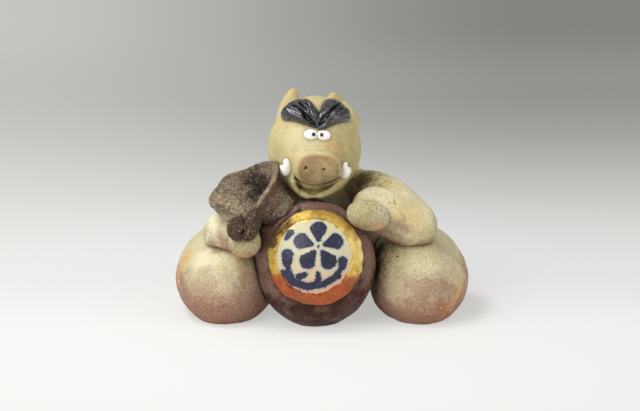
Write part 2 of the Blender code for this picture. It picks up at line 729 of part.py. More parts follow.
def add_sack_mouth(sack, head, tusks, arms, hands):
    """The open mouth of the sack, flaring from its neck into a ruffled rim."""
    around, sections = 32, 7
    neck, _ = surface_point(sack, SACK_MIDDLE, NECK_WAY)
    rim_middle = Vector(RIM_OFFSET)
    rim_turn = Vector((-0.477, -0.390, 0.787)).to_track_quat("Z", "Y")
    neck_turn = NECK_WAY.to_track_quat("Z", "Y")
    spread = NECK_RADIUS * 1.3
    rows = []
    for spot in rim_curve(around):
        rim = rim_middle + rim_turn @ spot
        outward = neck_turn.inverted() @ (rim_turn @ Vector((spot.x, spot.y, 0)))
        outward = neck_turn @ Vector((outward.x, outward.y, 0)).normalized()
        foot = outward * (NECK_RADIUS - MOUTH_WALL) - NECK_WAY * PRESS * 2
        rising = foot + NECK_WAY * spread
        folding = rim - rim_turn @ (Vector((spot.x, spot.y, 0)).normalized() * 0.5 + UP * 0.55) * spread
        row = []
        for step in range(sections + 1):
            t = step / sections
            point = (foot * (1 - t) ** 3 + rising * 3 * t * (1 - t) ** 2
                     + folding * 3 * t * t * (1 - t) + rim * t ** 3)
            pleat = math.sin(t * 20) * math.exp(-(t / 0.35) ** 2) * PLEAT_DEPTH
            row.append(point + outward * pleat)
        rows.append(row)
    shaped = bmesh.new()
    verts = [[shaped.verts.new(p) for p in row] for row in rows]
    for i in range(around):
        here, following = verts[i], verts[(i + 1) % around]
        for j in range(sections):
            shaped.faces.new((here[j], following[j], following[j + 1], here[j + 1]))
    mesh = bpy.data.meshes.new("sack_mouth")
    shaped.to_mesh(mesh)
    shaped.free()
    mouth = place(add_object("sack_mouth", mesh, BROWN_CLAY), neck)
    clay = mouth.modifiers.new("wall", "SOLIDIFY")
    clay.thickness = MOUTH_WALL
    clay.offset = 1.0
    bpy.context.view_layer.update()
    walled = mouth.evaluated_get(bpy.context.evaluated_depsgraph_get())
    blank = add_object("sack_mouth_blank", bpy.data.meshes.new_from_object(walled),
                       collection=CUTTERS)
    place(blank, neck)
    press(mouth, sack, head, *tusks, *arms[1], hands[1])
    return blank


def add_mouth_fold(mouth, arms, hands):
    """The two petals that the rim makes where it folds over in front, joined side by side."""
    grabs = [((0, -1, 0.35), 0.85, (0, 0.6, 0)), ((0, 0, 1), 1.0, (0.1, 0.2, 0))]
    fold = lump("mouth_fold", (FOLD_WIDTH, FOLD_DEPTH, FOLD_HEIGHT), BROWN_CLAY, grabs,
                squareness=2.1, segments=16, rings=11)
    place(fold, middle(mouth) + Vector(FOLD_OFFSET), facing((-0.1, -1, 0.25)))
    tongue = lump("mouth_fold_tongue", (TONGUE_WIDTH, TONGUE_DEPTH, TONGUE_LENGTH), None,
                  squareness=2.1, segments=14, rings=11, collection=CUTTERS)
    place(tongue, middle(mouth) + Vector(TONGUE_OFFSET), facing((0.1, -1, 0.2), roll=math.radians(22)))
    combine(fold, tongue, "UNION")
    press(fold, mouth, *arms[1], hands[1])
    return fold, tongue


def add_gathers(sack, neighbours):
    """Two rolls of the sack's clay, the upper one from the neck round under the chin."""
    face = heading(0, MEDALLION_TILT)
    for name, ways in (("upper_gather", UPPER_GATHER), ("lower_gather", LOWER_GATHER)):
        spine = []
        for way in ways:
            skin, out = surface_point(sack, SACK_MIDDLE, way)
            spine.append(skin - out * GATHER_SINK)
        gather = roll(name, spine, [GATHER_RADIUS] * len(spine), BROWN_CLAY, count=16,
                      bevel_resolution=2)
        press(gather, sack, *neighbours)
        cut(gather, rod(f"{name}_clear", SACK_MIDDLE, face, MEDALLION_RADIUS + SLIP, SACK_DEPTH,
                        segments=40))


def add_medallion(sack, mouth):
    """A gold ring and the cream field in it, both laid over the front of the sack."""
    way = heading(0, MEDALLION_TILT)
    side = Vector((1, 0, 0))
    outer = rod("medallion_edge", SACK_MIDDLE, way, MEDALLION_RADIUS, SACK_DEPTH, segments=40)
    for name, finish, radius, height in (
            ("medallion_ring", GOLD_LUSTRE, MEDALLION_RADIUS - RING_WIDTH, RELIEF),
            ("medallion_disc", CREAM_GLAZE, MEDALLION_RADIUS - RING_WIDTH - SLIP, RELIEF * 0.75)):
        inner = rod(name + "_edge", SACK_MIDDLE - side * RING_SHIFT, way, radius, SACK_DEPTH,
                    segments=40)
        piece = add_object(name, swollen(sack, height, name + "_skin").data.copy(), finish)
        piece.matrix_basis = sack.matrix_basis
        if name == "medallion_ring":
            combine(piece, outer, "INTERSECT")
            cut(piece, inner)
        else:
            combine(piece, inner, "INTERSECT")
        press(piece, sack, mouth)


def add_tail(torso):
    """A short tail laid down the back of the torso."""
    spine = []
    for turn, drop in ((180, -6), (172, -20), (171, -33), (180, -42)):
        skin, way = surface_point(torso, middle(torso), heading(turn, drop))
        spine.append(skin + way * TAIL_RADIUS * 0.3)
    tail = roll("tail", spine, [TAIL_RADIUS, TAIL_RADIUS * 0.9, TAIL_RADIUS * 0.8, TAIL_RADIUS * 0.9],
                BUFF_CLAY, count=10, bevel_resolution=1)
    press(tail, torso)


def add_hollows(torso, sack, legs, head):
    """Firing hollows, each with a vent in the base; the head's opens down into the torso."""
    throat = lump("throat", (THROAT_RADIUS * 2, THROAT_RADIUS * 2, THROAT_DEPTH * 2), None,
                  squareness=2.4, segments=14, rings=10, collection=CUTTERS)
    place(throat, surface_point(sack, SACK_MIDDLE, NECK_WAY)[0], NECK_WAY.to_track_quat("Z", "Y"))
    hollow(torso, torso_core("torso_hollow"), (), middle(torso))
    hollow(sack, sack_core("sack_hollow"), (torso, throat), middle(sack))
    cut(sack, throat)
    for leg, side in zip(legs, (RIGHT, LEFT)):
        hollow(leg, leg_core(f"{leg.name}_hollow", side), (torso, sack), middle(leg))
    core = head_core("head_hollow")
    cut(head, core)
    down = middle(torso) - HEAD_MIDDLE
    neck = rod("neck_vent", HEAD_MIDDLE, down, VENT_RADIUS, down.length)
    cut(head, neck)
    cut(torso, neck)


def main():
    torso = torso_shape("torso")
    stand_flat(torso)
    sack = sack_shape("sack_body", segments=28, rings=18)
    stand_flat(sack)
    legs = [leg_shape(name, side) for name, side in (("right_leg", RIGHT), ("left_leg", LEFT))]
    for leg in legs:
        stand_flat(leg)
    head = head_shape("head", segments=26, rings=16)
    snout = add_snout(head)
    brows = [
        add_brow("right_brow", RIGHT, head, -27.2, 49, BROW_SLANT, 0.85, -0.04),
        add_brow("left_brow", LEFT, head, 30.5, 49.5, -BROW_SLANT, 1.05, 0.28),
    ]
    press(brows[1], brows[0])
    add_ears(head, brows)
    add_eyes(head, brows)
    tusks = add_tusks(head, snout)
    arms = add_arms(torso, legs, sack, head)
    hands = add_hands(arms, legs, sack)
    mouth = add_sack_mouth(sack, head, tusks, arms, hands)
    fold = add_mouth_fold(mouth, arms, hands)
    add_gathers(sack, (head, mouth, *fold, *arms[0], *arms[1], *hands))
    add_medallion(sack, mouth)
    add_tail(torso)
    add_hollows(torso, sack, legs, head)
    press(sack, torso)
    for leg in legs:
        press(leg, torso, sack)
    press(head, torso, sack)
    carve_mouth(head)
    make_cuts()


if __name__ == "__main__":
    main()
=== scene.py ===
"""The finish of a seated stoneware boar that hugs a brown sack.

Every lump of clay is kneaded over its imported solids: the facets are rounded, lumps that the
potter blended become one, the skin gets dents and grit, and lines are pressed in. Marks are
named by their pixel in the photograph and land on the solid that shows there. Lengths are metres.
"""

import json
import math
import typing

import bpy
import numpy as np
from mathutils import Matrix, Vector
from mathutils.bvhtree import BVHTree

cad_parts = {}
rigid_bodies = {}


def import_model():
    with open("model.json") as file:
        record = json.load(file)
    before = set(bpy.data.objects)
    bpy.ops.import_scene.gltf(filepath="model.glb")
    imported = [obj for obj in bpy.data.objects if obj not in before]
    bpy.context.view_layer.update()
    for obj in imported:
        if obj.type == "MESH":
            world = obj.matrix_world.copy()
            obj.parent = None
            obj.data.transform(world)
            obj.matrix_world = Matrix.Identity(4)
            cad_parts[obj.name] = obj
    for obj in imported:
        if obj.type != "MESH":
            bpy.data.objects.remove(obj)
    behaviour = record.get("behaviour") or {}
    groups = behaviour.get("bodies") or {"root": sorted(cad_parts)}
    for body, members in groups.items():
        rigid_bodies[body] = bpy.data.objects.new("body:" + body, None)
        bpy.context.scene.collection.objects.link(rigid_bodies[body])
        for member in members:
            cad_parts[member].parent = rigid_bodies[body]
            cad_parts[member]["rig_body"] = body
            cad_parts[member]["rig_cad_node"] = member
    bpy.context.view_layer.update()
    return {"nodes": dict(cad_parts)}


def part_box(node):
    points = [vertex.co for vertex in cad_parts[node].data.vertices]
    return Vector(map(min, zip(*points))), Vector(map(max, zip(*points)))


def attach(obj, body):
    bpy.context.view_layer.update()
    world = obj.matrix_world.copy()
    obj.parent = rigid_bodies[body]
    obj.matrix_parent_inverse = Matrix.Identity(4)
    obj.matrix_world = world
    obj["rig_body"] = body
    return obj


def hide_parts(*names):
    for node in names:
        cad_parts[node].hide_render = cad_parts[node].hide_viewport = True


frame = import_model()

bl_info = {
    "name": "Stoneware boar finish",
    "version": (1, 0, 0),
    "blender": (4, 5, 0),
    "location": "View3D > Sidebar > Boar",
    "description": "Dresses a packed boar figurine in clay, glaze and lustre",
    "category": "Object",
}

UP = Vector((0, 0, 1))
PHOTO_WIDTH = 640
PHOTO_HEIGHT = 411
SENSOR = 36.0


def paint(red, green, blue):
    """A colour picked on screen, from 0 to 255, as the linear colour that a shader takes."""
    shares = [c / 255 for c in (red, green, blue)]
    return tuple(c / 12.92 if c <= 0.04045 else ((c + 0.055) / 1.055) ** 2.4 for c in shares)


# Sizes and colours that a user would change

def length(name, description, default):
    """A length that a user can set, in metres."""
    return bpy.props.FloatProperty(name=name, description=description, default=default,
                                   unit="LENGTH", precision=5)


def power(name, description, default):
    """A lamp's power that a user can set, in watts."""
    return bpy.props.FloatProperty(name=name, description=description, default=default,
                                   unit="POWER")


def colour(name, description, *levels):
    """A colour that a user can set, whose default is picked on screen."""
    return bpy.props.FloatVectorProperty(name=name, description=description,
                                         default=paint(*levels), subtype="COLOR", size=3,
                                         min=0.0, max=1.0)


class BoarSizes(bpy.types.PropertyGroup):
    trunk_mesh: length("Trunk mesh", "Spacing of the points on the torso and the arms", 0.00072)
    leg_mesh: length("Leg mesh", "Spacing of the points on the legs", 0.00053)
    hand_mesh: length("Hand mesh", "Spacing of the points on the hands", 0.0004)
    head_mesh: length("Head mesh", "Spacing of the points on the head", 0.00044)
    brow_mesh: length("Brow mesh", "Spacing of the points on the brows", 0.0002)
    white_mesh: length("White mesh", "Spacing of the points on the eyes and the tusks", 0.00018)
    pupil_mesh: length("Pupil mesh", "Spacing of the points on the pupils", 0.00009)
    sack_mesh: length("Sack mesh", "Spacing of the points on the sack", 0.00054)
    mouth_mesh: length("Mouth mesh", "Spacing of the points on the sack's mouth", 0.00032)
    medallion_mesh: length("Medallion mesh", "Spacing of the points on the medallion", 0.0003)
    swell: length("Swell", "How far a lump swells to meet its neighbours", 0.00022)
    dents: length("Dents", "Depth of the finger dents", 0.0007)
    dent_size: length("Dent size", "Width of the finger dents", 0.012)
    grit: length("Grit", "Height of the grog in the skin", 0.00042)
    grit_size: length("Grit size", "Width of a grain of grog", 0.0019)
    # How far the painted shade in the seams spreads
    seam_shade_reach: length("Seam wash", "How far the dark wash spreads from a seam", 0.0035)


class BoarColours(bpy.types.PropertyGroup):
    cream: colour("Ash cream", "Clay where the ash settled", 212, 200, 158)
    grey: colour("Bare clay", "Clay on the flanks", 182, 170, 140)
    pink: colour("Pink clay", "Clay that the ash did not reach", 154, 110, 90)
    drab: colour("Drab", "Blotches of the buff clay", 178, 174, 146)
    bright: colour("Bright ash", "Patches where the ash lies thick", 240, 232, 198)
    olive: colour("Olive ash", "Patches of greener ash", 164, 152, 98)
    blush: colour("Blush", "Pink patches", 168, 136, 112)
    ochre: colour("Ochre", "Yellow patches of the arm", 208, 182, 116)
    flash: colour("Flash", "Orange flashing", 220, 172, 106)
    rust: colour("Rust", "Red-brown core of a flash", 170, 104, 66)
    smoke: colour("Smoke", "Olive smoke beside the neck", 160, 140, 74)
    # Sooty clay with painted shade in the hollows beside the neck and the sack
    soot: colour("Soot", "Dark ash in the hollows", 64, 54, 30)
    speck: colour("Ash speck", "Loose specks of ash", 80, 62, 20)
    face: colour("Face clay", "Smooth yellow clay of the head", 200, 186, 134)
    straw: colour("Straw", "Blotches of the face", 186, 164, 108)
    # Painted light on the lit side of the face and on the lip's ridge
    face_bright: colour("Face light", "Paler patches of the face", 220, 210, 168)
    # Painted shade on the shaded side of the face, the ear and the mouth
    face_shade: colour("Face shade", "Browner patches of the face", 140, 124, 82)
    # Sooty patches with painted shade round the mouth and the jaw
    face_soot: colour("Face soot", "Soot round the mouth", 78, 64, 34)
    face_flash: colour("Face flash", "Orange tinge of the face", 200, 158, 98)
    # Painted shade in the line under the snout's lower edge
    snout_shade_line: colour("Mouth line", "Dark line below the snout", 46, 38, 24)
    # Browner clay, darker partly as painted shade where the snout faces down
    snout: colour("Snout clay", "Browner clay of the snout", 138, 114, 72)
    snout_dark: colour("Snout shade", "Blotches of the snout", 122, 98, 60)
    # Paler clay, and a painted highlight on the snout's upper rim
    snout_pale: colour("Snout light", "Paler edge of the snout", 186, 164, 114)
    # A red-brown band, partly painted shade below the snout's upper rim
    snout_band: colour("Snout band", "Red-brown band above the nostrils", 148, 104, 68)
    # Painted shade in the seams and crevices of the buff clay
    crevice_shade: colour("Crevice", "Wash in the seams of the buff clay", 92, 76, 48)
    grog_dark: colour("Dark grog", "Dark side of the clay's mottle", 70, 62, 54)
    grog_pale: colour("Pale grog", "Pale side of the clay's mottle", 250, 248, 240)
    salt: colour("Salt", "Pale grains in the buff clay", 238, 218, 186)
    pit: colour("Pit", "Small pits in the buff clay", 92, 66, 46)
    iron: colour("Iron", "Rare dark spots of iron", 60, 42, 32)
    sack: colour("Sack", "Brown clay of the sack", 134, 104, 92)
    # Partly redder clay, partly a painted red bounce low on the sack
    sack_red: colour("Sack foot", "Redder clay low on the sack", 58, 18, 14)
    sack_dun: colour("Sack blotch", "Paler blotches of the sack", 138, 112, 96)
    # Dust, partly painted sheen and light on the sack's sides
    sack_dust: colour("Sack dust", "Dusty patches of the sack", 134, 112, 100)
    # Painted shade on the sack below the chin
    sack_shade: colour("Sack shade", "Dark clay above the medallion", 24, 19, 22)
    # Painted shade in the seams and the pressed creases of the sack
    sack_seam_shade: colour("Sack seam", "Wash in the seams and the creases", 40, 30, 26)
    sack_dark: colour("Sack grog", "Dark side of the sack's mottle", 40, 34, 30)
    sack_pale: colour("Sack light", "Pale side of the sack's mottle", 250, 246, 240)
    sack_grain: colour("Sack grain", "Tan grains in the sack", 196, 148, 112)
    wall: colour("Wall", "Outer walls of the sack's mouth", 104, 84, 72)
    wall_warm: colour("Warm wall", "Warmer patches of the walls", 164, 118, 84)
    fold: colour("Fold", "Folds of the mouth's rim", 76, 58, 48)
    lining_dark: colour("Dark lining", "Dark blotches inside the mouth", 118, 104, 88)
    lining_pale: colour("Pale lining", "Pale blotches inside the mouth", 154, 140, 118)
    # Painted shade in the depths of the mouth
    hollow: colour("Hollow", "Depths of the mouth", 52, 46, 42)
    sand: colour("Sand", "Pale grains inside the sack's mouth", 188, 172, 142)
    rim: colour("Rim", "Worn edge of the mouth", 182, 160, 134)
    black: colour("Black glaze", "Purple black of the brows", 34, 30, 34)
    # Worn glaze with a painted highlight on the ridges
    black_worn_and_lit: colour("Worn black", "Glaze worn thin on the ridges", 92, 86, 90)
    # Painted shade in the grooves of the brows
    black_deep_shade: colour("Deep black", "Glaze pooled in the grooves", 12, 10, 11)
    white: colour("White slip", "White of the eyes and the tusks", 250, 248, 240)
    # Also, at half its level, the painted shade in the seams round the eyes and the tusks
    white_shade: colour("Slip shade", "Thin places in the white", 226, 220, 204)
    pupil: colour("Pupil", "Black of the pupils", 42, 38, 40)
    # Also the painted glint in the hole pricked into each pupil
    pupil_thin_and_glint: colour("Pupil shade", "Thin places in the black", 96, 88, 86)
    gold: colour("Gold", "Lustre at the top of the ring", 210, 176, 84)
    gold_rich: colour("Rich gold", "Thicker strokes of the lustre", 204, 160, 62)
    # Painted highlights on the ring's right
    gold_pale: colour("Pale gold", "Brighter patches of the ring", 238, 214, 136)
    gold_flake: colour("Gold flake", "Grains that catch the light", 244, 220, 146)
    # A painted reflection of red bounce light at the foot of the ring
    red_bounce_gold: colour("Copper", "Lustre at the foot of the ring", 170, 86, 46)
    # Worn brown lustre, partly painted shade at the ring's upper left and top
    tarnish: colour("Tarnish", "Worn brown lustre", 104, 72, 40)
    field: colour("Field", "Cream glaze of the medallion", 204, 195, 156)
    field_shade: colour("Field shade", "Blotches of the cream glaze", 180, 168, 140)
    peach: colour("Peach", "Glaze low on the medallion", 212, 162, 124)
    cobalt: colour("Cobalt", "Blue of the brush strokes", 14, 17, 44)
    cobalt_thin: colour("Thin cobalt", "Blue where the brush ran dry", 44, 54, 112)
    # Painted glints of the glaze's pits in the blue
    cobalt_glint: colour("Blue spark", "Pale grains in the blue", 150, 160, 190)
    halo: colour("Halo", "Blue that bled into the cream", 150, 166, 190)
    glaze_pit: colour("Glaze pit", "Pinholes of the glaze", 96, 70, 56)


class BoarStage(bpy.types.PropertyGroup):
    camera_place: bpy.props.FloatVectorProperty(
        name="Camera place", description="Where the camera stands", subtype="XYZ",
        unit="LENGTH", default=(-0.00125, -0.8568, 0.2285))
    camera_tilt: bpy.props.FloatProperty(
        name="Camera tilt", description="How far the camera looks down", subtype="ANGLE",
        default=math.radians(11.58))
    camera_lens: bpy.props.FloatProperty(
        name="Lens", description="Focal length on a 36 mm sensor", unit="CAMERA", default=95.6)
    softbox_power: power("Softbox", "Power of the softbox", 5.4)
    top_card_power: power("Top card", "Power of the light overhead", 4.0)
    side_card_power: power("Side card", "Power of the narrow light at the right", 1.3)
    fill: bpy.props.FloatProperty(
        name="Fill", description="Strength of the light from all round", default=0.42)
    room: colour("Room", "Colour of the light from all round", 236, 236, 240)
    floor: colour("Floor", "Colour of the floor near the figurine", 241, 241, 239)


# The photograph's line of sight

def sight():
    """The camera's place, its forward and upward axes, and its focal length in pixels."""
    stage = bpy.context.scene.boar_stage
    tilt = stage.camera_tilt
    forward = Vector((0, math.cos(tilt), -math.sin(tilt)))
    above = Vector((0, math.sin(tilt), math.cos(tilt)))
    return Vector(stage.camera_place), forward, above, stage.camera_lens / SENSOR * PHOTO_WIDTH


def touch(pixel):
    """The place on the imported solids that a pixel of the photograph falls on."""
    place, forward, above, focal = sight()
    across = pixel[0] - PHOTO_WIDTH / 2
    upward = PHOTO_HEIGHT / 2 - pixel[1]
    ray = forward * focal + Vector((1, 0, 0)) * across + above * upward
    hits = [tree.ray_cast(place, ray.normalized()) for tree in SOLIDS.values()]
    return min((hit for hit in hits if hit[0]), key=lambda hit: hit[3])[0]


def solid_of(node):
    """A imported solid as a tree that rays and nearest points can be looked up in."""
    mesh = frame["nodes"][node].data
    return BVHTree.FromPolygons([v.co.copy() for v in mesh.vertices],
                                [list(f.vertices) for f in mesh.polygons])


SOLIDS = {node: solid_of(node) for node in frame["nodes"]}


# Handling pieces, as by hand

WELD = 0.00001
FLATTEST_PAIR = math.radians(40)
SQUAREST_PAIR = math.radians(60)
TRIMMED_EDGE = math.radians(32)
TRIM_CREASE = 0.9


def deselect():
    bpy.ops.object.select_all(action="DESELECT")


def pick(piece):
    """Makes this piece the only one selected."""
    deselect()
    piece.select_set(True)
    bpy.context.view_layer.objects.active = piece
    return piece


def merge(piece):
    """Welds loose corners and turns the faces outwards."""
    pick(piece)
    bpy.ops.object.mode_set(mode="EDIT")
    bpy.ops.mesh.select_all(action="SELECT")
    bpy.ops.mesh.remove_doubles(threshold=WELD)
    bpy.ops.mesh.normals_make_consistent(inside=False)
    bpy.ops.object.mode_set(mode="OBJECT")


def apply(piece, kind, **settings):
    """Adds a modifier with these settings and applies it."""
    pick(piece)
    added = piece.modifiers.new(kind.lower(), kind)
    for key, value in settings.items():
        setattr(added, key, value)
    bpy.ops.object.modifier_apply(modifier=added.name)


def copy_of(name, node):
    """A new piece from a copy of this CAD node, with its corners merged."""
    pick(frame["nodes"][node])
    bpy.ops.object.duplicate()
    bpy.ops.object.parent_clear(type="CLEAR_KEEP_TRANSFORM")
    piece = bpy.context.view_layer.objects.active
    piece.name = name
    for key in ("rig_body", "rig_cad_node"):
        del piece[key]
    piece.data.materials.clear()
    merge(piece)
    return piece


def round_facets(piece):
    """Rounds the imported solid's facets, and keeps the edges where it was trimmed."""
    pick(piece)
    bpy.ops.object.mode_set(mode="EDIT")
    bpy.ops.mesh.select_all(action="SELECT")
    bpy.ops.mesh.tris_convert_to_quads(face_threshold=FLATTEST_PAIR,
                                       shape_threshold=SQUAREST_PAIR)
    bpy.ops.mesh.select_all(action="DESELECT")
    bpy.ops.mesh.select_mode(type="EDGE")
    bpy.ops.mesh.edges_select_sharp(sharpness=TRIMMED_EDGE)
    bpy.ops.transform.edge_crease(value=TRIM_CREASE)
    bpy.ops.mesh.select_mode(type="VERT")
    bpy.ops.object.mode_set(mode="OBJECT")
    apply(piece, "SUBSURF", levels=2, render_levels=2)


def dent(piece, name, depth, size, detail=1):
    """Dents the skin with a cloudy pattern of this depth and size."""
    if depth <= 0:
        return
    clouds = bpy.data.textures.new(f"{piece.name}_{name}", "CLOUDS")
    clouds.noise_scale = size
    clouds.noise_depth = detail
    apply(piece, "DISPLACE", texture=clouds, texture_coords="LOCAL", strength=depth,
          mid_level=0.5)


SKIN = ("swell", "dents", "dent_size", "grit", "grit_size")


def knead(name, nodes, mesh, relax, **changes):
    """Blends copies of these nodes into one lump, and gives it the skin of grogged clay."""
    sizes = bpy.context.scene.boar_sizes
    skin = {key: changes.get(key, getattr(sizes, key)) for key in SKIN}
    lumps = [copy_of(f"{node}_copy", node) for node in nodes]
    for lump in lumps:
        round_facets(lump)
        if skin["swell"] > 0:
            apply(lump, "DISPLACE", strength=skin["swell"], mid_level=0.0)
    piece = pick(lumps[0])
    for lump in lumps[1:]:
        lump.select_set(True)
    if len(lumps) > 1:
        bpy.ops.object.join()
    piece.name = name
    apply(piece, "REMESH", mode="VOXEL", voxel_size=mesh)
    apply(piece, "SMOOTH", factor=0.5, iterations=relax)
    dent(piece, "dents", skin["dents"], skin["dent_size"])
    dent(piece, "grit", skin["grit"], skin["grit_size"], detail=3)
    return piece


def finish(piece, material, slot, *nodes):
    """Gives the piece its finish and its place in the frame."""
    piece.data.materials.clear()
    piece.data.materials.append(material)
    pick(piece)
    bpy.ops.object.shade_smooth()
    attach(piece, "root")
    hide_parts(*nodes)


# Lines and washes that follow the surface. A line's corners are pixels of the photograph

# How soon the facing reaches 1, and the least share of a mark that the thumb still smooths
FACING_GAIN = 3.0
LEAST_SHARE = 0.02


def corners_of(piece):
    """The places and the normals of a piece's corners, one row each."""
    places = np.empty(len(piece.data.vertices) * 3)
    normals = np.empty(len(places))
    piece.data.vertices.foreach_get("co", places)
    piece.data.vertices.foreach_get("normal", normals)
    return places.reshape(-1, 3), normals.reshape(-1, 3)


def reshape(piece, places):
    """Moves a piece's corners to these places."""
    piece.data.vertices.foreach_set("co", places.ravel())
    piece.data.update()


def store(piece, name, values):
    """Keeps one value for each corner, for a material to read."""
    layer = piece.data.attributes.new(name, "FLOAT", "POINT")
    layer.data.foreach_set("value", values)


def store_none(piece, name):
    """Keeps a zero for each corner, where a shared material reads what this piece lacks."""
    store(piece, name, np.zeros(len(piece.data.vertices)))


def distance_to(spots, line, start_width=0.0, end_width=0.0):
    """How far each spot is from a line of corners whose width runs from one value to the other."""
    line = np.array(line, float)
    best = np.linalg.norm(spots - line[0], axis=1) - start_width
    for turn in range(len(line) - 1):
        along = line[turn + 1] - line[turn]
        if not along.any():
            continue
        share = np.clip((spots - line[turn]) @ along / (along @ along), 0, 1)
        width = start_width + (end_width - start_width) * (turn + share) / (len(line) - 1)
        gap = np.linalg.norm(spots - line[turn] - share[:, None] * along, axis=1) - width
        best = np.minimum(best, gap)
    return best


def drawn(piece, lines, width):
    """How strongly lines drawn over the photograph mark each corner, and how it faces the camera.

    The mark is 1 on a line and fades with this width. The facing is 0 from the side and behind.
    """
    places, normals = corners_of(piece)
    place, forward, above, focal = sight()
    away = places - np.array(place)
    deep = away @ np.array(forward)
    spots = np.stack([PHOTO_WIDTH / 2 + focal * away[:, 0] / deep,
                      PHOTO_HEIGHT / 2 - focal * (away @ np.array(above)) / deep], axis=1)
    near = np.min([distance_to(spots, line) for line in lines], axis=0) * deep / focal
    turned = -(normals * away).sum(axis=1) / np.linalg.norm(away, axis=1)
    return np.exp(-(near / width) ** 2), np.clip(FACING_GAIN * turned, 0, 1)


def press(piece, lines, width, depth, keep_mark=False):
    """Presses drawn lines into the side that faces the camera, and can keep them for a material:
    painted shade in most, a painted glint in the pupils.
    """
    places, normals = corners_of(piece)
    mark, facing = drawn(piece, lines, width)
    share = mark * facing
    reshape(piece, places - normals * (depth * share)[:, None])
    if keep_mark:
        store(piece, "groove", share)


def pinch(piece, line, width, depth):
    """Pulls the skin near a drawn line in towards the piece's middle."""
    places = corners_of(piece)[0]
    mark = drawn(piece, [line], width)[0]
    way = places.mean(axis=0) - places
    way /= np.linalg.norm(way, axis=1)[:, None]
    reshape(piece, places + way * (depth * mark)[:, None])


def thumb(piece, line, width, passes):
    """Smooths the skin along a drawn line, as a thumb would."""
    mark, facing = drawn(piece, [line], width)
    share = mark * facing
    group = piece.vertex_groups.new(name="thumb")
    for corner in np.nonzero(share > LEAST_SHARE)[0]:
        group.add([int(corner)], float(share[corner]), "REPLACE")
    apply(piece, "SMOOTH", factor=0.5, iterations=passes, vertex_group="thumb")
    piece.vertex_groups.clear()


def near_to(piece, name, nodes, reach):
    """Stores how near each corner is to these solids: 1 on them and 0 at this reach."""
    places = corners_of(piece)[0]
    gaps = np.full(len(places), reach)
    for node in nodes:
        low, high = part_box(node)
        close = (places > np.array(low) - reach) & (places < np.array(high) + reach)
        for corner in np.nonzero(close.all(axis=1))[0]:
            gap = SOLIDS[node].find_nearest(Vector(places[corner]), reach)[3]
            if gap is not None and gap < gaps[corner]:
                gaps[corner] = gap
    store(piece, name, 1 - gaps / reach)


def wash(piece, *own):
    """Stores where painted shade gathers in the seams: next to any solid but the piece's own."""
    others = [node for node in SOLIDS if node not in own]
    near_to(piece, "seam", others, bpy.context.scene.boar_sizes.seam_shade_reach)


# Node materials

# Most noise lies between these values
NOISE_LOW = 0.3
NOISE_HIGH = 0.7


class Marks(typing.NamedTuple):
    """Marks of one tint, each laid at its pixel of the photograph, with its reach and strength."""
    tint: str  # the name of one of the colours
    ragged: float  # how far the edge strays, as a share of the reach
    cloud: float  # the size of the noise that it strays by
    spots: list  # of (pixel, reach, strength)


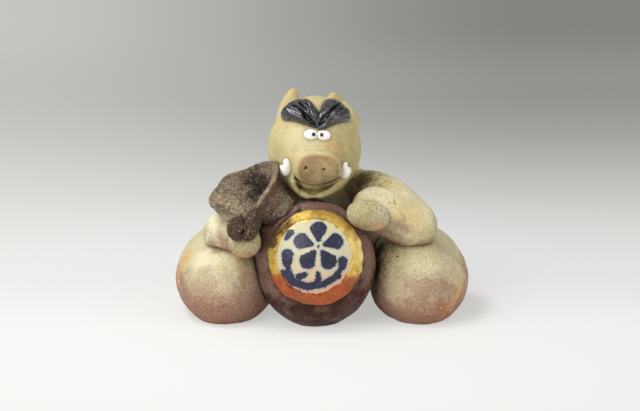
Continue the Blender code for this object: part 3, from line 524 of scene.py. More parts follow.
class Recipe:
    """A node material while it is put together. Sockets and plain values mix freely."""

    def __init__(self, name):
        self.material = bpy.data.materials.new(name)
        self.material.use_nodes = True
        self.tree = self.material.node_tree
        self.shader = self.tree.nodes["Principled BSDF"]
        self.place = self.add("ShaderNodeTexCoord").outputs["Object"]
        self.colours = bpy.context.scene.boar_colours

    def add(self, kind, inputs=(), **settings):
        """Adds a node with these settings, and feeds its inputs."""
        node = self.tree.nodes.new(kind)
        for key, value in settings.items():
            setattr(node, key, value)
        for key, value in dict(inputs).items():
            self.feed(node.inputs[key], value)
        return node

    def feed(self, socket, value):
        """Links another node's output to a socket, or sets the socket to a plain value."""
        if isinstance(value, bpy.types.NodeSocket):
            self.tree.links.new(value, socket)
        elif socket.type == "RGBA" and len(value) == 3:
            socket.default_value = (*value, 1.0)
        else:
            socket.default_value = value

    def shade(self, **inputs):
        """Feeds the shader's own sockets and gives the finished material."""
        for key, value in inputs.items():
            self.feed(self.shader.inputs[key.replace("_", " ")], value)
        return self.material

    def noise(self, size, detail=4.0, roughness=0.6):
        return self.add("ShaderNodeTexNoise", {
            "Vector": self.place, "Scale": 1 / size, "Detail": detail,
            "Roughness": roughness}).outputs["Fac"]

    def step(self, value, low, high, out_low=0.0, out_high=1.0):
        """Carries a value smoothly from one range into another, and holds it past both ends."""
        return self.add("ShaderNodeMapRange", {
            "Value": value, "From Min": low, "From Max": high, "To Min": out_low,
            "To Max": out_high}, interpolation_type="SMOOTHSTEP").outputs["Result"]

    def spread(self, noise, low, high):
        """Spreads a noise over the range between two values."""
        return self.step(noise, NOISE_LOW, NOISE_HIGH, low, high)

    def math(self, operation, a, b):
        return self.add("ShaderNodeMath", {0: a, 1: b}, operation=operation).outputs[0]

    def mix(self, share, a, b, blend="MIX"):
        """Mixes two colours, which are sockets 6 and 7 of a Mix node."""
        node = self.add("ShaderNodeMix", data_type="RGBA", blend_type=blend)
        self.feed(node.inputs["Factor"], share)
        self.feed(node.inputs[6], a)
        self.feed(node.inputs[7], b)
        return node.outputs[2]

    def lay(self, body, share, strength, tint):
        """Lays a tint over the body, at this strength where the share is 1."""
        return self.mix(self.math("MULTIPLY", share, strength), body, tint)

    def mottle(self, body, noise, strength, dark, pale):
        """Darkens and lightens the body with a fine noise."""
        return self.mix(strength, body, self.mix(self.step(noise, 0.35, 0.65), dark, pale),
                        "SOFT_LIGHT")

    def seams(self, body, power, strength, tint):
        """Lays painted shade in the seams. A higher power keeps it closer to them."""
        return self.lay(body, self.math("POWER", self.stored("seam"), power), strength, tint)

    def stored(self, name):
        """A value that was stored at each corner."""
        return self.add("ShaderNodeAttribute", attribute_name=name).outputs["Fac"]

    def height(self):
        return self.add("ShaderNodeSeparateXYZ", {0: self.place}).outputs["Z"]

    def facing(self, way):
        """How squarely the skin faces this way, from -1 to 1."""
        normal = self.add("ShaderNodeNewGeometry").outputs["Normal"]
        return self.add("ShaderNodeVectorMath", {0: normal, 1: way},
                        operation="DOT_PRODUCT").outputs["Value"]

    def distance(self, where):
        return self.add("ShaderNodeVectorMath", {0: self.place, 1: where},
                        operation="DISTANCE").outputs["Value"]

    def spot(self, where, reach, ragged, cloud):
        """A soft ragged spot round a point: 1 in its middle and 0 past its reach."""
        wobble = self.spread(self.noise(cloud), -ragged * reach, ragged * reach)
        return self.step(self.math("ADD", self.distance(where), wobble), reach, reach * 0.25)

    def marks(self, body, groups, within=None):
        """Lays groups of marks over the body, each mark at its pixel of the photograph."""
        for group in groups:
            tint = getattr(self.colours, group.tint)
            for pixel, reach, strength in group.spots:
                share = self.spot(touch(pixel), reach, group.ragged, group.cloud)
                if within is not None:
                    share = self.math("MULTIPLY", share, within)
                body = self.lay(body, share, strength, tint)
        return body

    def grains(self, size, share, radius):
        """Round grains of this size, of which only a share shows."""
        cells = self.add("ShaderNodeTexVoronoi", {"Vector": self.place, "Scale": 1 / size})
        chance = self.add("ShaderNodeSeparateColor", {0: cells.outputs["Color"]}).outputs[0]
        near = self.step(cells.outputs["Distance"], radius, radius * 0.6)
        return self.math("MULTIPLY", near, self.math("LESS_THAN", chance, share))

    def bump(self, height, distance):
        return self.add("ShaderNodeBump",
                        {"Height": height, "Distance": distance}).outputs["Normal"]


# Where the kiln marked the buff clay, with one patch of painted shade beside the sack
BUFF_MARKS = [
    Marks("bright", ragged=0.35, cloud=0.008, spots=[
        ((398, 198), 0.016, 0.55),
        ((394, 290), 0.012, 0.30),
        ((420, 218), 0.014, 0.60),
        ((460, 274), 0.012, 0.35),
        ((406, 238), 0.008, 0.45),
        ((214, 220), 0.009, 0.80),
        ((212, 254), 0.013, 0.55),
    ]),
    Marks("olive", ragged=0.4, cloud=0.005, spots=[
        ((366, 213), 0.013, 0.65),
        ((246, 246), 0.010, 0.60),
        ((424, 250), 0.014, 0.30),
        ((388, 270), 0.014, 0.25),
        ((390, 255), 0.009, 0.50),
    ]),
    Marks("blush", ragged=0.35, cloud=0.006, spots=[
        ((213, 243), 0.006, 0.80),
        ((222, 243), 0.007, 0.80),
        ((204, 284), 0.012, 0.45),
        # Painted shade on the leg beside the sack
        ((250, 286), 0.012, 0.55),
        ((408, 244), 0.008, 0.12),
    ]),
    Marks("ochre", ragged=0.3, cloud=0.008, spots=[
        ((412, 213), 0.014, 0.60),
        ((400, 205), 0.009, 0.40),
        ((422, 230), 0.010, 0.35),
        ((386, 184), 0.010, 0.30),
    ]),
    Marks("flash", ragged=0.35, cloud=0.006, spots=[
        ((180, 268), 0.013, 0.60),
        ((188, 254), 0.009, 0.18),
        ((462, 280), 0.013, 0.30),
        ((240, 262), 0.006, 0.30),
        ((452, 306), 0.009, 0.45),
        ((358, 229), 0.006, 0.40),
        ((376, 228), 0.005, 0.35),
        ((242, 257), 0.006, 0.55),
    ]),
    Marks("rust", ragged=0.5, cloud=0.002, spots=[
        ((180, 277), 0.005, 0.60),
        ((443, 309), 0.006, 0.70),
        ((438, 304), 0.003, 0.45),
        ((404, 218), 0.003, 0.35),
    ]),
]

# Smoke beside the neck, sooty patches with painted shade in the hollows beside the neck and between
# the sack and the right leg, and where loose ash lies
SMOKE_MARKS = [
    Marks("smoke", ragged=0.3, cloud=0.008, spots=[
        ((366, 178), 0.012, 0.40),
        ((378, 184), 0.012, 0.35),
        ((352, 188), 0.015, 0.40),
    ]),
    Marks("soot", ragged=0.3, cloud=0.006, spots=[
        ((360, 181), 0.008, 0.80),
        ((346, 199), 0.008, 0.15),
        ((378, 250), 0.008, 0.80),
        ((377, 268), 0.009, 0.90),
        ((375, 286), 0.006, 0.35),
    ]),
]
ASH_SPECKS = [
    Marks("speck", ragged=0.4, cloud=0.003, spots=[
        ((390, 255), 0.0090, 1.00),
        ((387, 262), 0.0060, 0.90),
        ((384, 250), 0.0050, 0.85),
        ((381, 268), 0.0045, 0.95),
        ((372, 205), 0.0070, 0.55),
        ((374, 179), 0.0130, 0.80),
        ((366, 172), 0.0080, 0.80),
        ((393, 201), 0.0030, 0.90),
    ]),
]

# Patches of the face: painted light on its left and on the lip's ridge, painted shade on its right,
# the ear, the mouth and its corners, sooty patches with painted shade round the mouth, and orange
# tinges; and of the pad of the snout: paler clay with a painted highlight on its rim, and a
# red-brown band that is partly painted shade below the rim
FACE_MARKS = [
    Marks("face_bright", ragged=0.3, cloud=0.006, spots=[
        ((300, 140), 0.0110, 0.55),
        ((314, 146), 0.0080, 0.35),
        ((287, 175), 0.0090, 0.35),
        ((300, 150), 0.0070, 0.30),
        ((318, 195), 0.0050, 0.35),
    ]),
    Marks("face_shade", ragged=0.3, cloud=0.006, spots=[
        ((313, 189), 0.0050, 0.35),
        ((338, 99), 0.0040, 0.60),
        ((339, 150), 0.0070, 0.45),
        ((352, 158), 0.0130, 0.40),
        ((346, 140), 0.0110, 0.35),
        ((277, 150), 0.0070, 0.25),
        ((290, 184), 0.0050, 0.40),
    ]),
    Marks("face_soot", ragged=0.3, cloud=0.004, spots=[
        ((284, 183), 0.0060, 0.50),
        ((291, 190), 0.0075, 0.80),
        ((346, 186), 0.0080, 0.60),
        ((336, 194), 0.0060, 0.20),
    ]),
    Marks("face_flash", ragged=0.4, cloud=0.003, spots=[
        ((292, 91), 0.0045, 0.60),
        ((334, 96), 0.0040, 0.20),
        ((333, 143), 0.0042, 0.55),
        ((337, 152), 0.0060, 0.40),
        ((352, 138), 0.0050, 0.30),
    ]),
]
SNOUT_MARKS = [
    Marks("snout_pale", ragged=0.4, cloud=0.003, spots=[
        ((334, 166), 0.0090, 0.40),
        ((304, 152.5), 0.0030, 0.60),
        ((314, 151.5), 0.0035, 0.70),
        ((325, 153), 0.0030, 0.60),
        ((318, 179), 0.0050, 0.30),
    ]),
    Marks("snout_band", ragged=0.5, cloud=0.002, spots=[
        ((304, 156.5), 0.0035, 0.70),
        ((313, 155.5), 0.0040, 0.85),
        ((323, 156.5), 0.0035, 0.75),
        ((301, 164), 0.0035, 0.40),
    ]),
]

# The way that the snout's pad faces, the heights between which the clay turns pink downwards and
# how far they drift, and each of the two clays' grit, painted shade in the seams and roughness
SNOUT_WAY = Vector((0.10, -0.99, -0.05))
PINK_FADE = (0.036, 0.006)
PINK_DRIFT = 0.022
FACE_SKIN = {"grit": 0.35, "seam_power": 5.0, "seam_shade_strength": 0.55, "rough": (0.50, 0.66)}
BUFF_SKIN = {"grit": 1.0, "seam_power": 2.5, "seam_shade_strength": 0.65, "rough": (0.66, 0.86)}


def buff_body(recipe, blotch):
    """Cream clay where ash settled on it, pink underneath, and flashed here and there."""
    colours = recipe.colours
    drift = recipe.spread(recipe.noise(0.014), -0.3, 0.3)
    up = recipe.math("ADD", recipe.facing(UP), drift)
    low = recipe.math("ADD", recipe.height(), recipe.math("MULTIPLY", drift, PINK_DRIFT))
    body = recipe.mix(recipe.step(up, -0.3, 0.8), colours.grey, colours.cream)
    body = recipe.lay(body, blotch, 0.3, colours.drab)
    body = recipe.mix(recipe.step(low, *PINK_FADE, 0.0, 0.9), body, colours.pink)
    body = recipe.mix(recipe.step(up, 0.0, -0.75, 0.0, 0.8), body, colours.pink)
    return recipe.marks(body, BUFF_MARKS)


def face_body(recipe, blotch):
    """Smooth yellow clay with painted light and shade, and browner clay on the front of the snout,
    which is darker partly as painted shade.
    """
    colours = recipe.colours
    body = recipe.lay(colours.face, blotch, 0.35, colours.straw)
    body = recipe.marks(body, FACE_MARKS)
    pad = recipe.lay(colours.snout, blotch, 0.5, colours.snout_dark)
    pad = recipe.marks(pad, SNOUT_MARKS)
    front = recipe.step(recipe.facing(SNOUT_WAY), 0.30, 0.75, 0.10, 1.0)
    on_pad = recipe.math("MULTIPLY", recipe.step(recipe.stored("snout"), 0.55, 1.0), front)
    return recipe.mix(on_pad, body, pad)


def stoneware(name, face=False):
    """Clay with grog: mottled, pitted and salted, with painted shade in its seams."""
    skin = FACE_SKIN if face else BUFF_SKIN
    grit = skin["grit"]
    recipe = Recipe(name)
    colours = recipe.colours
    blotch = recipe.step(recipe.noise(0.005, roughness=0.65), 0.35, 0.65)
    body = face_body(recipe, blotch) if face else buff_body(recipe, blotch)
    body = recipe.seams(body, skin["seam_power"], skin["seam_shade_strength"], colours.crevice_shade)
    mottle = recipe.noise(0.0010, roughness=0.75)
    body = recipe.mottle(body, mottle, 0.45 * grit, colours.grog_dark, colours.grog_pale)
    salt = recipe.grains(0.0012, share=0.20, radius=0.36)
    body = recipe.lay(body, salt, 0.36 * grit, colours.salt)
    pits = recipe.grains(0.0016, share=0.18, radius=0.15)
    body = recipe.lay(body, pits, 0.75 * grit, colours.pit)
    if face:
        # The pressed line below the snout is painted dark as the shade under it
        body = recipe.mix(recipe.step(recipe.stored("groove"), 0.2, 0.8), body, colours.snout_shade_line)
    else:
        body = recipe.marks(body, SMOKE_MARKS)
        body = recipe.marks(body, ASH_SPECKS, within=recipe.grains(0.0013, share=0.62, radius=0.5))
    iron = recipe.grains(0.0070, share=0.42, radius=0.08)
    body = recipe.lay(body, iron, 0.9, colours.iron)
    grain = recipe.math("ADD", mottle, recipe.math("MULTIPLY", pits, -0.8))
    grain = recipe.math("ADD", grain, recipe.math("MULTIPLY", salt, 0.3))
    rough = recipe.spread(recipe.noise(0.006, detail=3.0, roughness=0.5), *skin["rough"])
    return recipe.shade(Base_Color=body, Roughness=rough,
                        Normal=recipe.bump(grain, 0.00045 * grit))


# Patches of the sack: dust that is partly painted sheen and light on its sides, red that is partly
# a painted bounce, and painted shade below the chin; then patches of the walls of its mouth, of the
# lining with painted shade in its depths, and of the rim
SACK_MARKS = [
    Marks("sack_dust", ragged=0.5, cloud=0.005, spots=[
        ((342, 206), 0.0090, 0.50),
        ((262, 256), 0.0130, 0.60),
        ((368, 258), 0.0110, 0.45),
        ((290, 208), 0.0070, 0.40),
    ]),
    Marks("sack_red", ragged=0.4, cloud=0.006, spots=[
        ((350, 299), 0.0140, 0.60),
        ((304, 306), 0.0130, 0.35),
    ]),
    Marks("sack_shade", ragged=0.35, cloud=0.005, spots=[
        ((320, 199), 0.0120, 1.00),
        ((300, 203), 0.0080, 0.50),
        ((338, 203), 0.0080, 0.50),
    ]),
]
WALL_MARKS = [
    Marks("wall_warm", ragged=0.45, cloud=0.004, spots=[
        ((268, 178), 0.0050, 0.45),
        ((280, 200), 0.0070, 0.35),
        ((292, 205), 0.0060, 0.35),
    ]),
]
LINING_MARKS = [
    Marks("sand", ragged=0.5, cloud=0.003, spots=[
        ((236, 208), 0.0090, 0.85),
        ((222, 200), 0.0080, 0.60),
        ((249, 208), 0.0050, 0.60),
    ]),
    Marks("hollow", ragged=0.4, cloud=0.003, spots=[
        ((259, 184), 0.0100, 0.90),
        ((255, 193), 0.0060, 0.75),
        ((240, 222), 0.0030, 0.50),
    ]),
]
RIM_MARKS = [
    Marks("rim", ragged=0.4, cloud=0.002, spots=[
        ((276, 167), 0.0035, 0.50),
        ((272, 179), 0.0035, 0.60),
        ((266, 190), 0.0035, 0.65),
        ((259, 200), 0.0035, 0.65),
        ((252, 209), 0.0035, 0.50),
    ]),
]

# The way that the mouth opens, the heights between which the sack reddens downwards, partly as a
# painted red bounce, and how far they drift, and the mottle, the pale grains and the roughness of
# the sack and of its mouth
FUNNEL_WAY = Vector((-0.477, -0.390, 0.787))
RED_FADE = (0.037, 0.010)
RED_DRIFT = 0.007
SACK_SKIN = {"mottle": 0.55, "grain": 0.0012, "sown": 0.26, "strength": 0.34,
             "rough": (0.36, 0.62), "bump": 0.0004}
MOUTH_SKIN = {"mottle": 0.75, "grain": 0.0015, "sown": 0.40, "strength": 0.65,
              "rough": (0.60, 0.85), "bump": 0.0010}


def mouth_body(recipe, body, drift):
    """The sack's mouth: browner walls, dark folds, a sandy lining with painted shade in its depths,
    and a worn rim.
    """
    colours = recipe.colours
    fold = recipe.stored("fold")
    body = recipe.mix(0.7, body, colours.wall)
    body = recipe.marks(body, WALL_MARKS)
    body = recipe.mix(recipe.step(fold, 0.1, 0.6, 0.0, 0.8), body, colours.fold)
    lining = recipe.mix(recipe.step(drift, 0.35, 0.65), colours.lining_dark, colours.lining_pale)
    lining = recipe.marks(lining, LINING_MARKS)
    inside = recipe.step(recipe.facing(FUNNEL_WAY), 0.05, 0.45)
    inside = recipe.math("MULTIPLY", inside, recipe.step(fold, 0.6, 0.1))
    return recipe.marks(recipe.mix(inside, body, lining), RIM_MARKS)


def sack_clay(name, mouth=False):
    """Dark brown clay with a dull sheen, redder at its foot, partly as a painted red bounce, and
    sown with pale grains, with painted shade in its seams and pressed creases.
    """
    skin = MOUTH_SKIN if mouth else SACK_SKIN
    recipe = Recipe(name)
    colours = recipe.colours
    drift = recipe.noise(0.008)
    foot = recipe.math("ADD", recipe.height(), recipe.spread(drift, -RED_DRIFT, RED_DRIFT))
    # Redder towards the foot, partly as a painted red bounce from below
    body = recipe.mix(recipe.step(foot, *RED_FADE), colours.sack, colours.sack_red)
    body = recipe.mix(recipe.step(drift, 0.42, 0.72, 0.0, 0.45), body, colours.sack_dun)
    body = mouth_body(recipe, body, drift) if mouth else recipe.marks(body, SACK_MARKS)
    body = recipe.seams(body, 2.0, 0.8, colours.sack_seam_shade)
    # Painted shade in the pressed creases and in the gap between the folds
    groove = recipe.step(recipe.stored("groove"), 0.2, 0.9, 0.0, 0.75)
    body = recipe.mix(groove, body, colours.sack_seam_shade)
    mottle = recipe.noise(0.0009, roughness=0.75)
    body = recipe.mottle(body, mottle, skin["mottle"], colours.sack_dark, colours.sack_pale)
    pale = recipe.grains(skin["grain"], share=skin["sown"], radius=0.34)
    body = recipe.lay(body, pale, skin["strength"], colours.sand if mouth else colours.sack_grain)
    grain = recipe.math("ADD", mottle, recipe.math("MULTIPLY", pale, 0.5))
    rough = recipe.spread(recipe.noise(0.003, roughness=0.5), *skin["rough"])
    return recipe.shade(Base_Color=body, Roughness=rough, Specular_IOR_Level=0.22,
                        Normal=recipe.bump(grain, skin["bump"]))


def brow_glaze(name):
    """Glossy black glaze, lighter on the ridges with worn glaze and a painted highlight, and
    darkest in the grooves with painted shade.
    """
    recipe = Recipe(name)
    colours = recipe.colours
    streak = recipe.step(recipe.noise(0.0016), 0.35, 0.7)
    groove = recipe.stored("groove")
    ridge = recipe.math("MULTIPLY", streak, recipe.step(groove, 0.5, 0.0))
    body = recipe.lay(colours.black, ridge, 0.30, colours.black_worn_and_lit)
    body = recipe.mix(recipe.step(groove, 0.4, 0.9), body, colours.black_deep_shade)
    rough = recipe.step(streak, 0.0, 1.0, 0.14, 0.30)
    wave = recipe.noise(0.0030, detail=3.0, roughness=0.5)
    return recipe.shade(Base_Color=body, Roughness=rough, Coat_Weight=0.6, Coat_Roughness=0.10,
                        Normal=recipe.bump(wave, 0.0006))


def slip(name, tint, second_tint, roughness):
    """A thin slip or glaze with thinner blotches of its second tint, painted shade in the seams,
    and its second tint in the pressed lines, where on the pupils it is a painted glint.
    """
    recipe = Recipe(name)
    drift = recipe.noise(0.0022)
    body = recipe.mix(recipe.step(drift, 0.4, 0.75, 0.0, 0.5), tint, second_tint)
    body = recipe.mix(recipe.step(recipe.stored("groove"), 0.3, 0.9, 0.0, 0.8), body, second_tint)
    body = recipe.seams(body, 8.0, 0.40, tuple(level * 0.5 for level in second_tint))
    wear = recipe.noise(0.0015, detail=3.0, roughness=0.5)
    rough = recipe.spread(wear, roughness * 0.8, roughness * 1.3)
    return recipe.shade(Base_Color=body, Roughness=rough, Normal=recipe.bump(drift, 0.00012))


# Heights above the medallion's middle: where the gold turns to a painted reflection of red bounce
# light, how far that fades up and down, and between which the cream turns to peach
BOUNCE_LEVEL = -0.0090
BOUNCE_FADE = (0.0025, -0.0015)
PEACH_FADE = (-0.001, -0.013)

# How far the cream field reaches from its middle, how soft its edge is, and how far the blue's
# edge and its halo reach
FIELD_EDGE = 0.0182
FIELD_BLEND = 0.0002
INK_EDGE = 0.00016
INK_HALO = 0.0011

# Painted highlights on the gold at its right, and where it is worn brown, partly with painted shade
# at its upper left and top
GOLD_HIGHLIGHTS = Marks("gold_pale", ragged=0.5, cloud=0.004, spots=[
    ((357, 252), 0.0110, 0.65),
    ((352, 236), 0.0070, 0.40),
])
TARNISH_AND_SHADE = Marks("tarnish", ragged=0.6, cloud=0.003, spots=[
    ((281, 228), 0.0085, 0.90),
    ((273, 242), 0.0065, 0.85),
    ((290, 219), 0.0050, 0.60),
    ((320, 213), 0.0080, 0.35),
    ((300, 297), 0.0050, 0.35),
    ((352, 286), 0.0040, 0.35),
])


def painted_red_bounce(recipe, body, level, middle):
    """Turns gold to a painted reflection of red bounce light low on the medallion."""
    start, end = (middle.z + BOUNCE_LEVEL + fade for fade in BOUNCE_FADE)
    return recipe.mix(recipe.step(level, start, end), body, recipe.colours.red_bounce_gold)


def lustre(name, middle):
    """Brushed gold over rough clay, with a painted red reflection at its foot, painted highlights
    at its right, and worn brown lustre with painted shade at the upper left.
    """
    recipe = Recipe(name)
    colours = recipe.colours
    brush = recipe.noise(0.0022, detail=5.0, roughness=0.7)
    flakes = recipe.grains(0.0012, share=0.30, radius=0.34)
    level = recipe.math("ADD", recipe.height(), recipe.spread(brush, -0.0022, 0.0022))
    body = recipe.mix(recipe.step(brush, 0.4, 0.7, 0.0, 0.6), colours.gold, colours.gold_rich)
    body = painted_red_bounce(recipe, body, level, middle)
    body = recipe.marks(body, [GOLD_HIGHLIGHTS, TARNISH_AND_SHADE])
    body = recipe.lay(body, flakes, 0.35, colours.gold_flake)
    metal = recipe.spread(recipe.noise(0.004, roughness=0.5), 0.35, 0.75)
    rough = recipe.spread(brush, 0.32, 0.55)
    grain = recipe.math("ADD", brush, recipe.math("MULTIPLY", flakes, 0.4))
    return recipe.shade(Base_Color=body, Metallic=metal, Roughness=rough,
                        Normal=recipe.bump(grain, 0.00045))


def brushed_cobalt(recipe, body):
    """Cobalt strokes that bleed into the cream, run dry and carry painted glints."""
    colours = recipe.colours
    ragged = recipe.spread(recipe.noise(0.0008, detail=3.0, roughness=0.7), -0.00042, 0.00042)
    ink = recipe.math("ADD", recipe.stored("ink"), ragged)
    body = recipe.mix(recipe.step(ink, INK_HALO, 0.0, 0.0, 0.55), body, colours.halo)
    streak = recipe.step(recipe.noise(0.0024, detail=5.0, roughness=0.7), 0.45, 0.72, 0.0, 0.50)
    cobalt = recipe.mix(streak, colours.cobalt, colours.cobalt_thin)
    glint_grains = recipe.grains(0.0007, share=0.16, radius=0.32)
    cobalt = recipe.lay(cobalt, glint_grains, 0.5, colours.cobalt_glint)
    return recipe.mix(recipe.step(ink, INK_EDGE, -INK_EDGE, 0.0, 0.96), body, cobalt)


def painted_glaze(name, middle):
    """Cream glaze, peach at its foot, under a blue painting, with lustre spilt over its edge that
    carries the ring's painted red reflection and shade.
    """
    recipe = Recipe(name)
    colours = recipe.colours
    drift = recipe.spread(recipe.noise(0.006), -0.004, 0.004)
    level = recipe.math("ADD", recipe.height(), drift)
    peach = recipe.step(level, *(middle.z + fade for fade in PEACH_FADE))
    body = recipe.mix(peach, colours.field, colours.peach)
    blotch = recipe.step(recipe.noise(0.0016, roughness=0.7), 0.45, 0.75, 0.0, 0.4)
    body = recipe.mix(blotch, body, colours.field_shade)
    body = brushed_cobalt(recipe, body)
    pits = recipe.grains(0.0028, share=0.25, radius=0.10)
    body = recipe.lay(body, pits, 0.8, colours.glaze_pit)
    skin = recipe.noise(0.0016, detail=3.0)
    skin = recipe.math("ADD", skin, recipe.math("MULTIPLY", pits, -0.8))
    rough = recipe.spread(recipe.noise(0.002, detail=3.0, roughness=0.5), 0.30, 0.48)
    ragged = recipe.spread(recipe.noise(0.0030), -0.0013, 0.0013)
    edge = recipe.math("ADD", recipe.stored("spread"), ragged)
    spill = recipe.step(edge, FIELD_EDGE - FIELD_BLEND, FIELD_EDGE + FIELD_BLEND)
    metal = painted_red_bounce(recipe, colours.gold, recipe.height(), middle)
    body = recipe.mix(spill, body, recipe.marks(metal, [TARNISH_AND_SHADE]))
    return recipe.shade(Base_Color=body, Roughness=rough, Specular_IOR_Level=0.35,
                        Metallic=recipe.math("MULTIPLY", spill, 0.55),
                        Normal=recipe.bump(skin, 0.00022))


# The lumps

# The crease of the left arm, smoothed away towards its elbow
ARM_FOLD = [(384.0, 187.0), (400.0, 196.0), (413.0, 207.0), (427.0, 222.0)]


class BOAR_OT_body(bpy.types.Operator):
    """Blends the torso, the arms and the tail, and kneads the legs and the hands"""
    bl_idname = "boar.body"
    bl_label = "Body and limbs"

    def execute(self, context):
        sizes = context.scene.boar_sizes
        clay = stoneware("buff_stoneware")
        trunk = ("torso", "left_arm", "right_arm", "tail")
        piece = knead("trunk_clay", trunk, sizes.trunk_mesh, relax=10)
        thumb(piece, ARM_FOLD, width=0.0035, passes=120)
        wash(piece, *trunk)
        finish(piece, clay, "buff_clay", *trunk)
        for node in ("left_leg", "right_leg"):
            piece = knead(f"{node}_clay", [node], sizes.leg_mesh, relax=6)
            wash(piece, node)
            finish(piece, clay, "buff_clay", node)
        for node in ("left_hand", "right_hand"):
            piece = knead(f"{node}_clay", [node], sizes.hand_mesh, relax=6, dents=0.0004)
            wash(piece, node)
            finish(piece, clay, "buff_clay", node)
        return {"FINISHED"}


# Where the snout and the ears blend into the head, the line below the snout, which is painted dark
# as the shade under it, and the two ridges of the lower lip
SNOUT_EDGE = [
    (295.5, 178.0), (293.8, 168.0), (296.0, 158.0), (302.0, 152.5), (311.0, 150.5),
    (322.0, 150.8), (332.0, 154.0), (338.5, 160.0), (340.5, 168.0), (341.0, 175.0),
]
RIGHT_EAR_FOOT = [(274.5, 118.5), (281.0, 112.0)]
LEFT_EAR_FOOT = [(352.5, 119.0), (358.5, 127.0)]
SNOUT_UNDERSIDE = [
    (295.5, 178.5), (299.0, 181.5), (305.0, 184.0), (313.0, 185.6), (321.0, 185.4),
    (330.0, 183.2), (337.0, 179.8), (341.0, 176.5),
]
LIP_RIDGES = [
    [(293.0, 181.0), (296.0, 187.5), (301.0, 192.5), (307.0, 196.0)],
    [(342.5, 180.5), (337.0, 187.5), (329.5, 192.5), (320.0, 196.0)],
]


class BOAR_OT_head(bpy.types.Operator):
    """Blends the head, the snout and the ears"""
    bl_idname = "boar.head"
    bl_label = "Head, snout and ears"

    def execute(self, context):
        nodes = ("head", "snout", "left_ear", "right_ear")
        piece = knead("head_clay", nodes, context.scene.boar_sizes.head_mesh, relax=5,
                      dents=0.0004, grit=0.00008)
        thumb(piece, SNOUT_EDGE, width=0.0019, passes=90)
        thumb(piece, LEFT_EAR_FOOT, width=0.0016, passes=50)
        thumb(piece, RIGHT_EAR_FOOT, width=0.0016, passes=50)
        press(piece, LIP_RIDGES, width=0.0016, depth=-0.0012)
        press(piece, [SNOUT_UNDERSIDE], width=0.00055, depth=0.0009, keep_mark=True)
        near_to(piece, "snout", ["snout"], reach=0.0025)
        wash(piece, *nodes)
        finish(piece, stoneware("face_stoneware", face=True), "buff_clay", *nodes)
        return {"FINISHED"}


# Lobes of the brows, grooves combed into them, and finer hairs from these tips to their point
BROW_LOBES = [
    [(286.5, 111.0), (295.0, 116.5), (304.0, 120.5)],
    [(298.5, 105.0), (303.5, 112.5), (308.0, 118.0)],
    [(307.0, 102.5), (311.0, 110.5), (314.5, 118.0)],
    [(333.5, 103.0), (327.5, 109.0), (321.5, 117.0)],
    [(346.5, 111.0), (338.0, 115.5), (327.0, 119.5)],
]
BROW_GROOVES = [
    [(288.0, 102.5), (295.7, 106.4), (302.1, 112.9), (307.9, 120.0), (312.9, 123.6)],
    [(298.3, 98.7), (302.9, 107.1), (306.4, 114.3), (310.7, 120.7), (314.3, 124.3)],
    [(343.6, 100.3), (332.9, 108.6), (325.7, 115.7), (320.0, 122.9)],
    [(345.0, 105.6), (335.5, 112.0), (329.3, 113.6), (319.3, 124.3)],
]
BROW_HAIR_TIPS = [
    (283.0, 112.0), (292.5, 101.5), (304.5, 98.0), (311.0, 101.0),
    (324.0, 105.0), (330.0, 98.5), (349.0, 108.5), (352.5, 114.5),
]
BROW_POINT = (317.0, 126.0)


class BOAR_OT_brows(bpy.types.Operator):
    """Lays the black brows on the forehead and combs them"""
    bl_idname = "boar.brows"
    bl_label = "Brows"

    def execute(self, context):
        glaze = brow_glaze("brow_glaze")
        hairs = [[tip, BROW_POINT] for tip in BROW_HAIR_TIPS]
        for node in ("left_brow", "right_brow"):
            piece = knead(f"{node}_glazed", [node], context.scene.boar_sizes.brow_mesh, relax=5,
                          dents=0.0003, grit=0.0001)
            press(piece, BROW_LOBES, width=0.0020, depth=-0.0009)
            press(piece, BROW_GROOVES, width=0.00065, depth=0.0021, keep_mark=True)
            press(piece, hairs, width=0.00050, depth=0.00034)
            finish(piece, glaze, "black_glaze", node)
        return {"FINISHED"}


# The hole pricked into each pupil, painted grey as a glint, and the notch pinched into each tusk
PUPIL_PRICKS = [[(313.6, 133.9), (313.7, 133.9)], [(321.9, 135.1), (322.0, 135.1)]]
TUSK_NOTCHES = {
    "right_tusk": [(280.6, 161.2), (281.8, 162.6)],
    "left_tusk": [(350.6, 163.4), (349.4, 164.4)],
}


class BOAR_OT_eyes(bpy.types.Operator):
    """Sets the eyes, their pupils and the tusks"""
    bl_idname = "boar.eyes"
    bl_label = "Eyes and tusks"

    def execute(self, context):
        sizes = context.scene.boar_sizes
        colours = context.scene.boar_colours
        white = slip("white_slip", colours.white, colours.white_shade, 0.32)
        black = slip("pupil_glaze", colours.pupil, colours.pupil_thin_and_glint, 0.22)
        for node in ("left_eye", "right_eye", "left_tusk", "right_tusk"):
            piece = knead(f"{node}_slip", [node], sizes.white_mesh, relax=6, dents=0.0001,
                          grit=0.00003, swell=0.0001)
            if node in TUSK_NOTCHES:
                pinch(piece, TUSK_NOTCHES[node], width=0.0010, depth=0.0014)
            store_none(piece, "groove")
            wash(piece, node)
            finish(piece, white, "white_clay", node)
        for node in ("left_pupil", "right_pupil"):
            piece = knead(f"{node}_dot", [node], sizes.pupil_mesh, relax=4, dents=0.0, grit=0.0,
                          swell=0.0)
            press(piece, PUPIL_PRICKS, width=0.00026, depth=0.0003, keep_mark=True)
            store_none(piece, "seam")
            finish(piece, black, "black_glaze", node)
        return {"FINISHED"}


